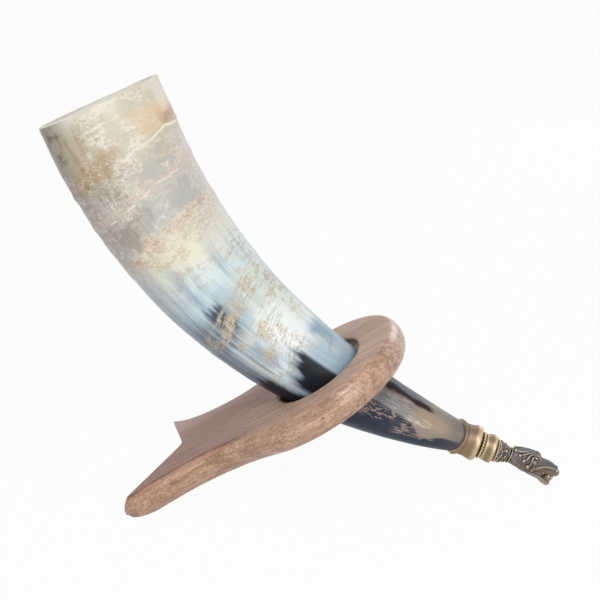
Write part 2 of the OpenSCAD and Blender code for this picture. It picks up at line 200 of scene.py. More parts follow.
def wrapped_grid(name, columns, rows, place, along=None):
    """Grid whose columns go round and whose rows go along; place gives the corners' places."""
    deselect()
    bpy.ops.mesh.primitive_grid_add(x_subdivisions=columns, y_subdivisions=rows, size=2)
    piece = bpy.context.active_object
    piece.name = name
    flat = corners(piece)
    if len(flat) != (columns + 1) * (rows + 1):
        raise RuntimeError("The grid has another number of corners than it should")
    column = np.rint((flat[:, 0] + 1) / 2 * columns).astype(int)
    row = np.rint((flat[:, 1] + 1) / 2 * rows).astype(int)
    if along is not None:
        layer = piece.data.uv_layers.active.data
        spread = np.empty(len(layer) * 2)
        layer.foreach_get("uv", spread)
        spread = spread.reshape(-1, 2)
        spread[:, 1] = along[np.rint(spread[:, 1] * rows).astype(int)]
        layer.foreach_set("uv", spread.ravel())
    move_corners(piece, place(column, row))
    bpy.ops.object.mode_set(mode="EDIT")
    bpy.ops.mesh.select_all(action="SELECT")
    bpy.ops.mesh.remove_doubles(threshold=MERGE_DISTANCE)
    bpy.ops.mesh.normals_make_consistent(inside=False)
    bpy.ops.object.mode_set(mode="OBJECT")
    bpy.ops.object.shade_smooth()
    return piece


def keep_values(piece, name, values):
    """Stores one number, or one vector, for each corner."""
    kind, key = ("FLOAT", "value") if values.ndim == 1 else ("FLOAT_VECTOR", "vector")
    layer = piece.data.attributes.new(name, kind, "POINT")
    layer.data.foreach_set(key, values.astype(np.float32).ravel())


def mark_raised(piece, rounds):
    """Stores how far each corner stands out, in millimetres, from its smoothed surroundings."""
    mesh = piece.data
    place = corners(piece)
    pairs = np.empty(len(mesh.edges) * 2, dtype=np.int32)
    mesh.edges.foreach_get("vertices", pairs)
    pairs = pairs.reshape(-1, 2)
    count = np.bincount(pairs.ravel(), minlength=len(place))[:, None]
    smooth = place.copy()
    for _ in range(rounds):
        total = np.zeros_like(smooth)
        np.add.at(total, pairs[:, 0], smooth[pairs[:, 1]])
        np.add.at(total, pairs[:, 1], smooth[pairs[:, 0]])
        smooth = total / np.maximum(count, 1)
    normals = np.empty(len(place) * 3)
    mesh.vertices.foreach_get("normal", normals)
    keep_values(piece, "raised", ((place - smooth) * normals.reshape(-1, 3)).sum(1) / MM)


def join(name, pieces):
    """Joins pieces into the first one."""
    deselect()
    for piece in pieces:
        piece.select_set(True)
    bpy.context.view_layer.objects.active = pieces[0]
    bpy.ops.object.join()
    bpy.ops.object.transform_apply(location=True, rotation=True, scale=True)
    pieces[0].name = name
    return pieces[0]


# Horn

class HornForm:
    """Places on and inside the horn, by the length s along its centre line, and the frame of its tip."""

    def __init__(self, sizes):
        self.sizes = sizes
        self.steps = np.linspace(0, sizes.curve, PATH_STEPS + 1)
        turn = self.heading((self.steps[:-1] + self.steps[1:]) / 2)
        step = sizes.curve / PATH_STEPS
        low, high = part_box("horn")
        lean = self.lean(0.0)
        start_x = low.x + sizes.mouth_d / 2 * math.sin(lean)
        start_z = high.z - sizes.mouth_d / 2 * math.cos(lean)
        self.x = start_x + np.concatenate([[0], np.cumsum(np.cos(turn) * step)])
        self.z = start_z - np.concatenate([[0], np.cumsum(np.sin(turn) * step)])
        self.tip = np.array([self.x[-1], 0, self.z[-1]])
        self.ahead = np.array([math.cos(sizes.tip_heading), 0, -math.sin(sizes.tip_heading)])
        self.over = np.array([math.sin(sizes.tip_heading), 0, math.cos(sizes.tip_heading)])

    def share(self, s):
        return np.minimum(s / self.sizes.curve, 1)

    def heading(self, s):
        sizes = self.sizes
        headings = (sizes.mouth_heading, sizes.upper_heading, sizes.lower_heading, sizes.tip_heading)
        return cubic(headings, self.share(s))

    def lean(self, s):
        return self.heading(s) - self.sizes.mouth_cut * np.maximum(0, 1 - s / self.sizes.cut_fade) ** 2

    def radius(self, s):
        sizes = self.sizes
        return cubic((sizes.mouth_d, sizes.upper_d, sizes.lower_d, sizes.tip_d), self.share(s)) / 2

    def oval(self, s):
        return 1 + (self.sizes.mouth_across / self.sizes.mouth_d - 1) * (1 - self.share(s) ** 3)

    def wall(self, s):
        sizes = self.sizes
        return sizes.mouth_wall + (sizes.deep_wall - sizes.mouth_wall) * s / sizes.hollow_depth

    def centre(self, s):
        past = np.maximum(0, s - self.sizes.curve)
        x = np.interp(s, self.steps, self.x) + past * self.ahead[0]
        z = np.interp(s, self.steps, self.z) + past * self.ahead[2]
        return x, z

    def ring(self, s, turn, radius):
        x, z = self.centre(s)
        lean = self.lean(s)
        return np.stack([x + radius * np.cos(turn) * np.sin(lean), radius * self.oval(s) * np.sin(turn),
                         z + radius * np.cos(turn) * np.cos(lean)], axis=-1)

    def at_tip(self, along, up, across):
        """Place in the frame of the tip: along its axis, up from it and across it, in millimetres."""
        along, up, across = np.broadcast_arrays(along, up, across)
        return (self.tip + MM * (along[..., None] * self.ahead + up[..., None] * self.over
                                 + across[..., None] * np.array([0, 1, 0])))


# Place, tilt, height and width of each growth ring, in millimetres
GROWTH = [(25, 5, 0.2, 3), (36.5, 8.5, 0.5, 2.6), (57.5, 7, 0.38, 3.2), (73, 5, 0.18, 4), (88, 6, 0.36, 4.5),
          (143, 14, 0.25, 4), (171, 9, 0.12, 5), (262, 6, 0.14, 5)]

# How far the worn rim sways sideways, dips at its top and is flattened there, in millimetres
RIM_SWAY = 0.8
RIM_DIP = 1.6
RIM_FLAT = 1.8
# Places along at which the inner and the outer wall meet the rounded rim, in millimetres
INNER_START = 1.2
OUTER_START = 1.6
# Rows of the tenon beyond the curve, in millimetres, and how fast its radius shrinks
TENON_ROWS = (1.5, 3, 5, 7, 9, 11)
TENON_TAPER = 0.09


def horn_relief(s, turn):
    """Growth steps and wear of the outside of the horn, in millimetres."""
    wander = 1.6 * ripple(turn, s, 3, 160)
    relief = 0.16 * ripple(turn, s, 5, 70)
    for base, tilt, height, width in GROWTH:
        off = s - (base - tilt * np.cos(turn)) + wander
        dip = 0.35 * np.exp(-((off - 4) / 4) ** 2)
        relief = relief + height * (np.exp(-(off / width) ** 2) - dip)
    return relief * ease(s, 2, 14) * ease(s, 300, 285)


def build_horn(settings):
    """Horn as one skin: bottom of the hollow, inner wall, rim, outer wall and the end in the ferrule."""
    form = HornForm(settings)
    columns = 224
    names = ("curve", "hollow_depth", "hollow_dome", "mouth_wall", "mouth_d")
    curve, depth, dome, wall, mouth_d = (getattr(settings, name) / MM for name in names)
    bottom = np.radians(np.linspace(90, 0, 15))
    inner = np.linspace(depth - dome, INNER_START, 56)[1:]
    s_inside = np.concatenate([depth - dome + dome * np.sin(bottom), inner])
    closing = np.concatenate([np.cos(bottom), np.ones_like(inner)])
    r_inside = (form.radius(s_inside * MM) - form.wall(s_inside * MM)) / MM * closing
    lip = np.radians(np.linspace(0, 180, 12))
    s_rim = 1 - np.sin(lip)
    r_rim = mouth_d / 2 - wall / 2 - wall / 2 * np.cos(lip)
    s_outside = np.concatenate([np.linspace(OUTER_START, curve, 272), curve + np.array(TENON_ROWS)])
    r_outside = form.radius(s_outside * MM) / MM - TENON_TAPER * np.maximum(0, s_outside - curve)
    rows_s = np.concatenate([s_inside, s_rim, s_outside, s_outside[-1:]])
    rows_r = np.concatenate([r_inside, r_rim, r_outside, [0]])
    outside = np.concatenate([np.zeros(len(s_inside) + len(s_rim)), np.ones(len(s_outside)), [0]])
    along = np.where(np.arange(len(rows_s)) < len(s_inside), -1, 1) * rows_s / curve

    def place(column, row):
        turn = math.radians(SEAM) + FULL_TURN * column / columns
        top = np.maximum(0, np.cos(turn))
        s = rows_s[row] + (RIM_SWAY * np.sin(turn) - RIM_DIP * top) * ease(rows_s[row], 50, 0)
        flat = RIM_FLAT * top ** 2 * ease(rows_s[row], 30, 0)
        radius = rows_r[row] + outside[row] * horn_relief(s, turn) - flat
        return form.ring(s * MM, turn, radius * MM)

    piece = wrapped_grid("horn_shell", columns, len(rows_s) - 1, place, along)
    bpy.ops.object.shade_smooth_by_angle(angle=math.radians(50))
    return piece


# Stand board

# Where the loop across each face of the board lies, from the middle of the hole to the outline
FACE_SHARE = 0.75


class BoardForm:
    """Places on the stand board, in millimetres along, across and below its top face."""

    def __init__(self, sizes, horn):
        form = HornForm(horn)
        size = {name: getattr(sizes, name) / MM for name in sizes.__annotations__ if name != "rise"}
        self.rise = sizes.rise
        self.size = size
        self.tail_z = size["thickness"] * math.cos(self.rise) - size["foot_cut"]
        cross_z = self.tail_z + size["hole_reach"] * math.sin(self.rise)
        cross = np.interp(-cross_z, -form.z / MM, form.steps)
        self.tail_x = form.centre(cross)[0] / MM - size["hole_reach"] * math.cos(self.rise)
        self.slant = math.tan(math.pi / 2 - self.rise - form.heading(cross))
        half = form.radius(cross) / MM * math.hypot(1, self.slant)
        low = size["hole_reach"] - half - size["seat_gap"]
        high = size["hole_reach"] + half + size["lift_gap"]
        self.hole_u = (low + high) / 2
        self.hole_half_u = (high - low) / 2
        self.hole_half_v = form.radius(cross) * form.oval(cross) / MM + size["side_gap"]
        self.head_r = self.hole_half_v + size["ring_side"]
        self.head_u = high + size["ring_end"] - self.head_r

    def place(self, u, v, d):
        x = self.tail_x + u * math.cos(self.rise) + d * math.sin(self.rise)
        z = self.tail_z + u * math.sin(self.rise) - d * math.cos(self.rise)
        z = z + self.size["far_warp"] * ease(u, 50, 120) * np.maximum(0, v) / self.head_r
        return MM * np.stack([x, v, np.maximum(z, 0)], axis=-1)

    def side(self, tip, radius):
        """Hollow side from the tail tip to the head and the angle where it meets the head."""
        span = np.array([self.head_u, 0]) - tip
        far = np.linalg.norm(span)
        way = span / far
        along = (far * far + radius * radius - (self.head_r + radius) ** 2) / (2 * far)
        centre = tip + along * way + math.sqrt(radius ** 2 - along ** 2) * np.array([-way[1], way[0]])
        meet = math.atan2(centre[1], centre[0] - self.head_u)
        start = math.atan2(tip[1] - centre[1], tip[0] - centre[0]) % FULL_TURN
        turn = np.linspace(start, meet + math.pi, 160)
        return centre + radius * np.stack([np.cos(turn), np.sin(turn)], axis=1), meet

    def outline(self, count):
        """Even points round the top face: the outline, its squeezed twin and how far the edge bulges."""
        size = self.size
        near_tip = np.array([size["near_tip_u"], size["near_tip_v"]])
        far_tip = np.array([size["far_tip_u"], size["far_tip_v"]])
        near, near_meet = self.side(near_tip, size["near_hollow_r"])
        far, far_meet = self.side(far_tip, size["far_hollow_r"])
        mirror = np.array([1, -1])
        notch = np.array([size["notch_depth"], size["notch_off"]])
        middle = np.array([(near_tip[0] + far_tip[0]) / 2, 0])
        turn = np.linspace(-near_meet, far_meet, 240)[1:-1]
        reach = self.head_r + size["far_swell"] * np.sin(math.pi * np.clip(turn / far_meet, 0, 1))
        head = np.array([self.head_u, 0]) + reach[:, None] * np.stack([np.cos(turn), np.sin(turn)], axis=1)
        share = np.linspace(0, 1, 60)[:-1, None]
        body = np.concatenate([near * mirror, head, far[::-1]])
        squeezed = body.copy()
        squeezed[:, 1] *= np.minimum(1, 0.5 + 0.5 * body[:, 0] / 60)

        def with_notch(point, sides, first_tip, last_tip):
            first = point + share * (first_tip - point)
            last = (point + share * (last_tip - point))[::-1]
            return np.concatenate([first, sides, last])

        loop = with_notch(notch, body, near_tip * mirror, far_tip)
        small = with_notch(middle, squeezed, squeezed[0], squeezed[-1])
        rounded = 0.12 + 1.45 * ease(share[:, 0], 0.64, 0.98)
        swell = 1 + 0.8 * ease(body[:, 0], 30, -4) * (body[:, 1] < 0)
        bulge = np.concatenate([rounded, swell, np.full(len(share), 0.12)])
        closed = np.concatenate([loop, loop[:1]])
        length = np.concatenate([[0], np.cumsum(np.linalg.norm(np.diff(closed, axis=0), axis=1))])
        even = np.linspace(0, length[-1], count + 1)[:-1]
        table = np.column_stack([loop, small, bulge])
        table = np.concatenate([table, table[:1]])
        table = np.stack([np.interp(even, length, column) for column in table.T], axis=1)
        for _ in range(14):
            table = 0.5 * table + 0.25 * (np.roll(table, 1, axis=0) + np.roll(table, -1, axis=0))
        return table[:, :2], table[:, 2:4], table[:, 4]


def edge_profile(form, inset, soft, share):
    """Growth and depth of the rounded edge, from the top face at share 0 to the bottom at share 1."""
    half = form.size["thickness"] / 2
    bulge = form.size["bulge"]
    turn = math.pi * share
    upper = inset if share < 0.5 else 0
    round_growth = (bulge + upper) * np.sin(turn) - upper
    round_depth = half * (1 - np.cos(turn))
    bow = (half * half + bulge * bulge) / (2 * bulge)
    reach = math.asin(half / bow)
    crisp_growth = bow * np.cos(reach * (2 * share - 1)) - bow + bulge
    crisp_depth = half + bow * np.sin(reach * (2 * share - 1))
    return soft * round_growth + (1 - soft) * crisp_growth, soft * round_depth + (1 - soft) * crisp_depth


def build_board(settings, horn):
    """Board as a closed ring of loops: edge, underside, hole and top face."""
    form = BoardForm(settings, horn)
    columns = 560
    outline, squeezed, bulge = form.outline(columns)
    ahead = np.roll(outline, -1, axis=0) - np.roll(outline, 1, axis=0)
    outward = np.stack([ahead[:, 1], -ahead[:, 0]], axis=1)
    outward /= np.linalg.norm(outward, axis=1)[:, None]
    soft = ease(outline[:, 0], 70, 150)
    inset = 1.6 * ease(outline[:, 0], 40, 80)
    thick = form.size["thickness"]
    middle = np.array([form.hole_u, 0])
    loops = []

    def add(uv, depth):
        loops.append(np.column_stack([uv, np.broadcast_to(depth, len(uv))]))

    def face(depth):
        shift = np.array([(1 - FACE_SHARE) * depth * form.slant, 0])
        add(middle + shift + FACE_SHARE * (squeezed - middle), depth)

    def hole(growth, depth):
        turn = np.arctan2(squeezed[:, 1], squeezed[:, 0] - form.hole_u)
        half_u = form.hole_half_u + growth
        half_v = form.hole_half_v + growth
        radius = half_u * half_v / np.hypot(half_v * np.cos(turn), half_u * np.sin(turn))
        u = form.hole_u + radius * np.cos(turn) + depth * form.slant
        add(np.stack([u, radius * np.sin(turn)], axis=1), depth)

    for share in np.linspace(0, 1, 27):
        growth, depth = edge_profile(form, inset, soft, share)
        add(outline + outward * (growth * bulge)[:, None], depth)
    face(thick)
    edge = form.size["hole_edge"]
    quarter = np.linspace(0, math.pi / 2, 7)
    rim = [(edge * (1 - math.sin(turn)), edge * (1 - math.cos(turn))) for turn in quarter]
    for growth, depth in rim:
        hole(growth, thick - depth)
    for growth, depth in rim[::-1]:
        hole(growth, depth)
    face(0)
    add(outline - outward * (inset * bulge)[:, None], 0)
    loops[0] = loops[-1].copy()
    table = np.stack(loops)

    def place(column, row):
        spot = table[row, column % columns]
        return form.place(spot[:, 0], spot[:, 1], spot[:, 2])

    piece = wrapped_grid("stand_plank", columns, len(loops) - 1, place)
    bpy.ops.object.shade_smooth_by_angle(angle=math.radians(24))
    spot = corners(piece) / MM
    x = spot[:, 0] - form.tail_x
    z = spot[:, 2] - form.tail_z
    along = x * math.cos(form.rise) + z * math.sin(form.rise)
    below = x * math.sin(form.rise) - z * math.cos(form.rise)
    keep_values(piece, "timber", np.stack([along, spot[:, 1], below], axis=1))
    return piece


# Ferrule and beads

# Outside of the ferrule beyond its lip, as place along and radius in millimetres
FERRULE_TURNING = [(8.4, 9.95), (9.6, 10.02), (10.8, 10.25), (12, 10.6), (13.2, 10.92), (14.2, 11.05),
                   (15.1, 11.02), (15.7, 10.85), (16.1, 10.5), (16.4, 9.9), (16.7, 9.0), (17.0, 7.9),
                   (17.5, 7.1), (19.3, 7.1), (19.7, 7.5), (20.1, 8.0), (20.9, 8.2), (22.4, 8.42),
                   (23.8, 8.75), (24.9, 8.95), (25.7, 8.95), (26.2, 8.8), (26.6, 8.4), (26.9, 7.7),
                   (27.2, 6.9), (27.7, 6.3), (28.9, 6.2)]


def build_ferrule(horn):
    """Turned brass cap whose lip is cut back in a long scallop on both sides."""
    form = HornForm(horn)
    columns = 160
    shares = np.linspace(0, 1, 15)
    turning = np.array(FERRULE_TURNING)
    inner = 2
    count = inner + len(shares)

    def place(column, row):
        turn = FULL_TURN * column / columns
        cut = np.abs(np.cos(turn + math.radians(SCALLOP_TURN)))
        share = shares[np.clip(row - inner, 0, len(shares) - 1)]
        start = SCALLOP * cut
        end = 5.3 + 2.7 * cut
        proud = 1.45 - 0.7 * cut
        lip = 9.9 + proud * np.sin(math.pi * share) ** 0.75 - 0.25 * (share < 0.01)
        late = np.clip(row - count, 0, len(turning) - 1)
        parts = [row == 0, row == 1, row < count]
        along = np.select(parts, [8.6, start + 0.2, start + (end - start) * share], turning[late, 0])
        radius = np.select(parts, [9.2, 9.5, lip], turning[late, 1])
        return form.at_tip(along, radius * np.cos(turn), radius * np.sin(turn))

    piece = wrapped_grid("ferrule_turned", columns, count + len(turning) - 1, place)
    bpy.ops.object.modifier_add(type="SUBSURF")
    piece.modifiers[-1].levels = piece.modifiers[-1].render_levels = 1
    bpy.ops.object.modifier_apply(modifier=piece.modifiers[-1].name)
    bpy.ops.object.shade_smooth_by_angle(angle=math.radians(40))
    mark_raised(piece, 12)
    return piece


def ball(form, along, up, across, radius, segments=20, rings=12):
    """Ball in the frame of the tip."""
    deselect()
    bpy.ops.mesh.primitive_uv_sphere_add(segments=segments, ring_count=rings, radius=radius * MM,
                                         location=form.at_tip(along, up, across))
    bpy.ops.object.shade_smooth()
    return bpy.context.active_object


def build_beads(name, horn, along, ring_r, bead_r, number):
    """Row of beads on a wire round the tip."""
    form = HornForm(horn)
    sides = 12
    wire_r = 0.55 * bead_r

    def wire(column, row):
        turn = FULL_TURN * column / (4 * number)
        tilt = FULL_TURN * row / sides
        radius = ring_r + wire_r * np.cos(tilt)
        return form.at_tip(along + wire_r * np.sin(tilt), radius * np.cos(turn), radius * np.sin(turn))

    pieces = [wrapped_grid(name, 4 * number, sides, wire)]
    for count in range(number):
        turn = FULL_TURN * (count + 0.5) / number
        pieces.append(ball(form, along, ring_r * math.cos(turn), ring_r * math.sin(turn), bead_r, 14, 9))
    piece = join(name, pieces)
    mark_raised(piece, 6)
    return piece


# Dragon head

# Skull and snout: place along, top, bottom and half width in millimetres from the tip's axis
SKULL = [(28.7, 6.6, -6.6, 6.6), (30, 6.5, -6.3, 6.4), (31.7, 6.1, -5.7, 5.9), (33.8, 5.2, -4.9, 5.0),
         (36.0, 4.2, -4.2, 4.3), (37.4, 4.7, -4.4, 4.6), (38.9, 5.6, -4.7, 5.1), (41.2, 6.5, -5.2, 5.5),
         (44.2, 7.2, -5.7, 5.9), (49.1, 7.7, -5.8, 6.2), (52.8, 7.5, -5.2, 6.2), (54.4, 6.6, -4.3, 5.8),
         (56.5, 5.5, -3.4, 5.2), (59.5, 5.0, -2.5, 4.7), (62.6, 4.4, -2.2, 4.2), (65.6, 3.2, -2.3, 3.6),
         (67.3, 2.45, -2.5, 3.0), (68.5, 1.6, -2.2, 2.2), (69.3, 0.3, -0.9, 0.8)]

# Lower jaw: place along, middle height, half height and half width
JAW = [(45, -4.2, 1.5, 4.6), (48, -4.4, 1.5, 5.0), (51, -4.5, 1.4, 5.0), (54, -4.7, 1.3, 4.7),
       (57, -5.2, 1.3, 4.4), (59.5, -6.2, 1.6, 4.2), (61.5, -7.4, 2.0, 4.1), (63.3, -8.2, 2.1, 3.9),
       (64.8, -8.5, 1.7, 3.4), (65.8, -8.6, 1.0, 2.4), (66.3, -8.6, 0.4, 1.0)]

# Dark filling of the mouth and the block of teeth, as the skull
MOUTH = [(49, -1, -5, 4.2), (53, -1, -5.2, 4.6), (57, -1.2, -5.4, 4.2), (59, -1.6, -5.6, 3.4),
         (59.6, -1.8, -5.4, 2.2)]
TEETH = [(61.2, -3.2, -7.6, 1.6), (62, -1.6, -8, 2.6), (64, -1.2, -8, 2.9), (65.6, -1.4, -7.4, 2.6),
         (66.6, -2, -5.2, 1.6)]

# Locks of the mane on one side, each from its knob in an S up to the crown
LOCKS = [[(39, 5.4), (40.8, 5.8), (42.9, 6.3), (44.6, 6.8), (46.3, 7.1)],
         [(41.9, 4.4), (43.3, 5.1), (45.3, 6.1), (47, 6.8), (49.2, 7.3)],
         [(45, 2.6), (46.4, 3.6), (47.2, 5), (47.9, 6.1), (49.5, 6.9), (51.3, 7.2)],
         [(48.4, 0.1), (49.4, 1.6), (49.8, 3.6), (49.7, 5), (50.4, 6.1), (52.2, 6.9)]]


def smooth_rows(rows, count):
    """Rows between the given ones, on a smooth curve through them."""
    rows = np.array(rows)
    spots = np.linspace(0, len(rows) - 1, count)
    first = np.clip(spots.astype(int), 0, len(rows) - 2)
    share = (spots - first)[:, None]
    before, start, end, after = (rows[np.clip(first + shift, 0, len(rows) - 1)] for shift in (-1, 0, 1, 2))
    return 0.5 * (2 * start + (end - before) * share
                  + (2 * before - 5 * start + 4 * end - after) * share ** 2
                  + (3 * start - before - 3 * end + after) * share ** 3)


def loft(name, form, rows, sides=48, count=90):
    """Closed skin over ovals whose rows give place along, top, bottom and half width."""
    table = smooth_rows(rows, count)
    table = np.concatenate([table[:1], table, table[-1:]])

    def place(column, row):
        turn = FULL_TURN * column / sides
        along, top, low, half = table[row].T
        shut = np.where((row == 0) | (row == len(table) - 1), 0, 1)
        up = (top + low) / 2 + shut * (top - low) / 2 * np.cos(turn)
        return form.at_tip(along, up, shut * half * np.sin(turn))

    return wrapped_grid(name, sides, len(table) - 1, place)


def tube(form, points, radii, sides=10, steps=24):
    """Round rod through points along, up and across, tapered by the radii, with round ends."""
    path = smooth_rows(points, steps)
    thick = np.interp(np.linspace(0, 1, steps), np.linspace(0, 1, len(radii)), radii)
    way = np.gradient(path, axis=0)
    way /= np.linalg.norm(way, axis=1)[:, None]
    side = np.cross(way, [0.31, 0.2, 0.93])
    side /= np.linalg.norm(side, axis=1)[:, None]
    lift = np.cross(side, way)
    shift = np.array([1, 0.9, 0.6])[:, None]
    closing = np.array([0, 0.45, 0.8])
    start = path[0] - shift * thick[0] * way[0]
    end = path[-1] + shift * thick[-1] * way[-1]
    spots = np.concatenate([start, path, end[::-1]])
    widths = np.concatenate([closing * thick[0], thick, closing[::-1] * thick[-1]])
    pick = np.clip(np.arange(len(spots)) - len(shift), 0, len(path) - 1)

    def place(column, row):
        turn = FULL_TURN * column / sides
        spot = (spots[row] + (widths[row] * np.cos(turn))[:, None] * side[pick[row]]
                + (widths[row] * np.sin(turn))[:, None] * lift[pick[row]])
        return form.at_tip(*spot.T)

    return wrapped_grid("rod", sides, len(spots) - 1, place)


def skull_side(along, up):
    """Half width of the skull at a place along and up."""
    table = np.array(SKULL)
    top, low, half = (np.interp(along, table[:, 0], table[:, k]) for k in (1, 2, 3))
    height = np.clip((up - (top + low) / 2) / ((top - low) / 2), -0.98, 0.98)
    return half * math.sqrt(1 - height * height)


def dragon_side(form, side):
    """Mane, brow, eye, lips, fangs, cheek and neck knobs on one side of the head."""
    pieces = []

    def rod(points, lift, *radii):
        path = [(along, up, side * (skull_side(along, up) + lift)) for along, up in points]
        pieces.append(tube(form, path, radii))

    def bump(along, up, lift, radius):
        pieces.append(ball(form, along, up, side * (skull_side(along, up) + lift), radius))

    for lock in LOCKS:
        rod(lock, 0.2, 0.95, 0.75, 0.75, 0.7, 0.5)
        bump(*lock[0], 0.45, 1.15)
    rod([(51.8, -1.6), (52.3, 0.4), (51.8, 2.2)], 0, 0.8, 0.7, 0.6)
    bump(51.8, -1.7, 0.3, 0.95)
    bump(51.5, 3.3, -0.7, 1.8)
    rod([(50.4, 4.9), (51.7, 4.5), (53.2, 4.8)], 0.1, 0.4, 0.55, 0.4)
    bump(51.9, 5.9, 0.1, 1.0)
    rod([(50.6, 7), (52.6, 7), (54, 6.1), (55.2, 5.1)], 0.15, 0.5, 0.85, 0.8, 0.5)
    rod([(51.8, -0.8), (55.4, 1.7), (58.6, 2.8), (62.3, 3), (65.2, 2.6)], 0.25, 0.8, 0.85, 0.85, 0.8, 0.6)
    rod([(56, -2.4), (60, -1.4), (64, -1.4), (67, -1.6)], 0, 0.5, 0.6, 0.7, 0.6)
    bump(66.7, 1.9, 0.1, 1.2)
    pieces.append(ball(form, 63.3, -3.2, side * 2.9, 1.15))
    pieces.append(ball(form, 65.6, -3.4, side * 2.2, 0.9))
    rod([(37.7, 1.2), (41.4, -1.2), (46.5, -3.3), (52, -4.4)], -0.9, 1.2, 1.9, 1.9, 1.6)
    chin = [(50, -4.4, side * 4), (54, -4.8, side * 4.2), (58, -5.6, side * 3.6), (61.5, -7.4, side * 3.1)]
    pieces.append(tube(form, chin, (1.3, 1.3, 1.4, 1.6)))
    bump(33.2, 3.7, 0.3, 1.2)
    bump(30, -3, 0.1, 0.85)
    return pieces


def build_dragon(horn):
    """Cast dragon head: skull, jaw, mouth, teeth, both sides and a knotted neck, fused into one casting."""
    form = HornForm(horn)
    jaw = [(along, middle + half, middle - half, wide) for along, middle, half, wide in JAW]
    pieces = [loft(name, form, rows) for name, rows in
              (("dragon_casting", SKULL), ("jaw", jaw), ("mouth", MOUTH), ("teeth", TEETH))]
    for side in (-1, 1):
        pieces += dragon_side(form, side)
    # Strands that cross round the neck and two rings below them
    for start, way in [(knot * 72, way) for knot in range(5) for way in (-1, 1)]:
        strand = []
        for share in np.linspace(0, 1, 9):
            along = 29.2 + 5.8 * share
            turn = math.radians(start + way * (20 + 150 * share))
            reach = skull_side(along, 0) + 0.05 + 0.25 * math.sin(7 * turn) * way
            strand.append((along, reach * math.cos(turn), reach * math.sin(turn)))
        pieces.append(tube(form, strand, (0.55, 0.6, 0.5)))
    for along, reach, thick in ((35.4, 4.5, 0.4), (36.9, 4.7, 0.5)):
        loop = [(along + 0.5 * math.cos(turn), reach * math.cos(turn) + 0.1, reach * math.sin(turn))
                for turn in np.linspace(0, FULL_TURN, 25)]
        pieces.append(tube(form, loop, (thick, thick)))
    piece = join("dragon_casting", pieces)
    piece.data.remesh_voxel_size = 0.2 * MM
    bpy.ops.object.voxel_remesh()
    bpy.ops.object.mode_set(mode="EDIT")
    bpy.ops.mesh.select_all(action="SELECT")
    bpy.ops.mesh.vertices_smooth(factor=0.5, repeat=2)
    bpy.ops.object.mode_set(mode="OBJECT")
    place = corners(piece)
    place[:, 2] = np.maximum(place[:, 2], 0)
    move_corners(piece, place)
    bpy.ops.object.shade_smooth()
    mark_raised(piece, 16)
    return piece


# Helpers for the finishes

class Desk:
    """Adds nodes to one tree; a value that isn't a socket is set as a constant."""

    def __init__(self, tree, tones=None):
        self.tree = tree
        self.tones = tones
        self.coat = None

    def put(self, socket, value):
        if isinstance(value, bpy.types.NodeSocket):
            self.tree.links.new(value, socket)
        else:
            socket.default_value = value

    def add(self, kind, inputs=None, **settings):
        node = self.tree.nodes.new(kind)
        for name, value in settings.items():
            setattr(node, name, value)
        for key, value in (inputs or {}).items():
            self.put(node.inputs[key], value)
        return node

    def use(self, group, inputs):
        """Outputs of a node group that is placed with these inputs."""
        return self.add("ShaderNodeGroup", inputs, node_tree=group).outputs

    def math(self, operation, first, second=0.0):
        return self.add("ShaderNodeMath", {0: first, 1: second}, operation=operation).outputs[0]

    def plus(self, first, second):
        return self.math("ADD", first, second)

    def minus(self, first, second):
        return self.math("SUBTRACT", first, second)

    def both(self, result, *others):
        """Product of masks or numbers."""
        for other in others:
            result = self.math("MULTIPLY", result, other)
        return result

    def either(self, result, *others):
        """Highest of several masks."""
        for other in others:
            result = self.math("MAXIMUM", result, other)
        return result

    def apart(self, first, second):
        """Distance between two values."""
        return self.math("ABSOLUTE", self.minus(first, second))

    def cosine(self, degrees):
        return self.math("COSINE", self.math("RADIANS", degrees))

    def ease(self, value, start, end, low=0.0, high=1.0):
        """Low at start, high at end and a smooth change between them."""
        inputs = {"Value": value, "From Min": start, "From Max": end, "To Min": low, "To Max": high}
        return self.add("ShaderNodeMapRange", inputs, interpolation_type="SMOOTHSTEP").outputs[0]

    def noise(self, vector, scale, detail=4.0, roughness=0.55):
        inputs = {"Vector": vector, "Scale": scale, "Detail": detail, "Roughness": roughness}
        return self.add("ShaderNodeTexNoise", inputs).outputs[0]

    def stretched(self, vector, scales, detail, roughness):
        """Noise with its own scale along each axis."""
        scaled = self.add("ShaderNodeVectorMath", {0: vector, 1: scales}, operation="MULTIPLY").outputs[0]
        return self.noise(scaled, 1.0, detail, roughness)

    def split(self, vector):
        return self.add("ShaderNodeSeparateXYZ", {0: vector}).outputs

    def vector(self, x, y, z):
        return self.add("ShaderNodeCombineXYZ", {0: x, 1: y, 2: z}).outputs[0]

    def coordinates(self, kind):
        return self.add("ShaderNodeTexCoord").outputs[kind]

    def attribute(self, name, kind):
        return self.add("ShaderNodeAttribute", attribute_name=name).outputs[kind]

    def colour(self, tone):
        """Opaque colour from the name of a setting or from screen levels."""
        return (*(getattr(self.tones, tone) if isinstance(tone, str) else linear(*tone)), 1.0)

    def mix(self, share, first, second):
        return self.add("ShaderNodeMix", {0: share, 6: first, 7: second}, data_type="RGBA").outputs[2]

    def ramp(self, share, stops):
        """Colours at their places along a share."""
        node = self.add("ShaderNodeValToRGB", {0: share})
        elements = node.color_ramp.elements
        while len(elements) < len(stops):
            elements.new(0.5)
        for element, (position, tone) in zip(elements, stops):
            element.position = position
            element.color = self.colour(tone)
        return node.outputs[0]

    def paint(self, tone, amount, *masks):
        """Lays a colour over the coats so far, by the amount, where all the masks are."""
        self.coat = self.mix(self.both(*masks, amount), self.coat, self.colour(tone))

    def bump(self, height, strength, distance):
        inputs = {"Height": height, "Strength": strength, "Distance": distance}
        return self.add("ShaderNodeBump", inputs).outputs[0]


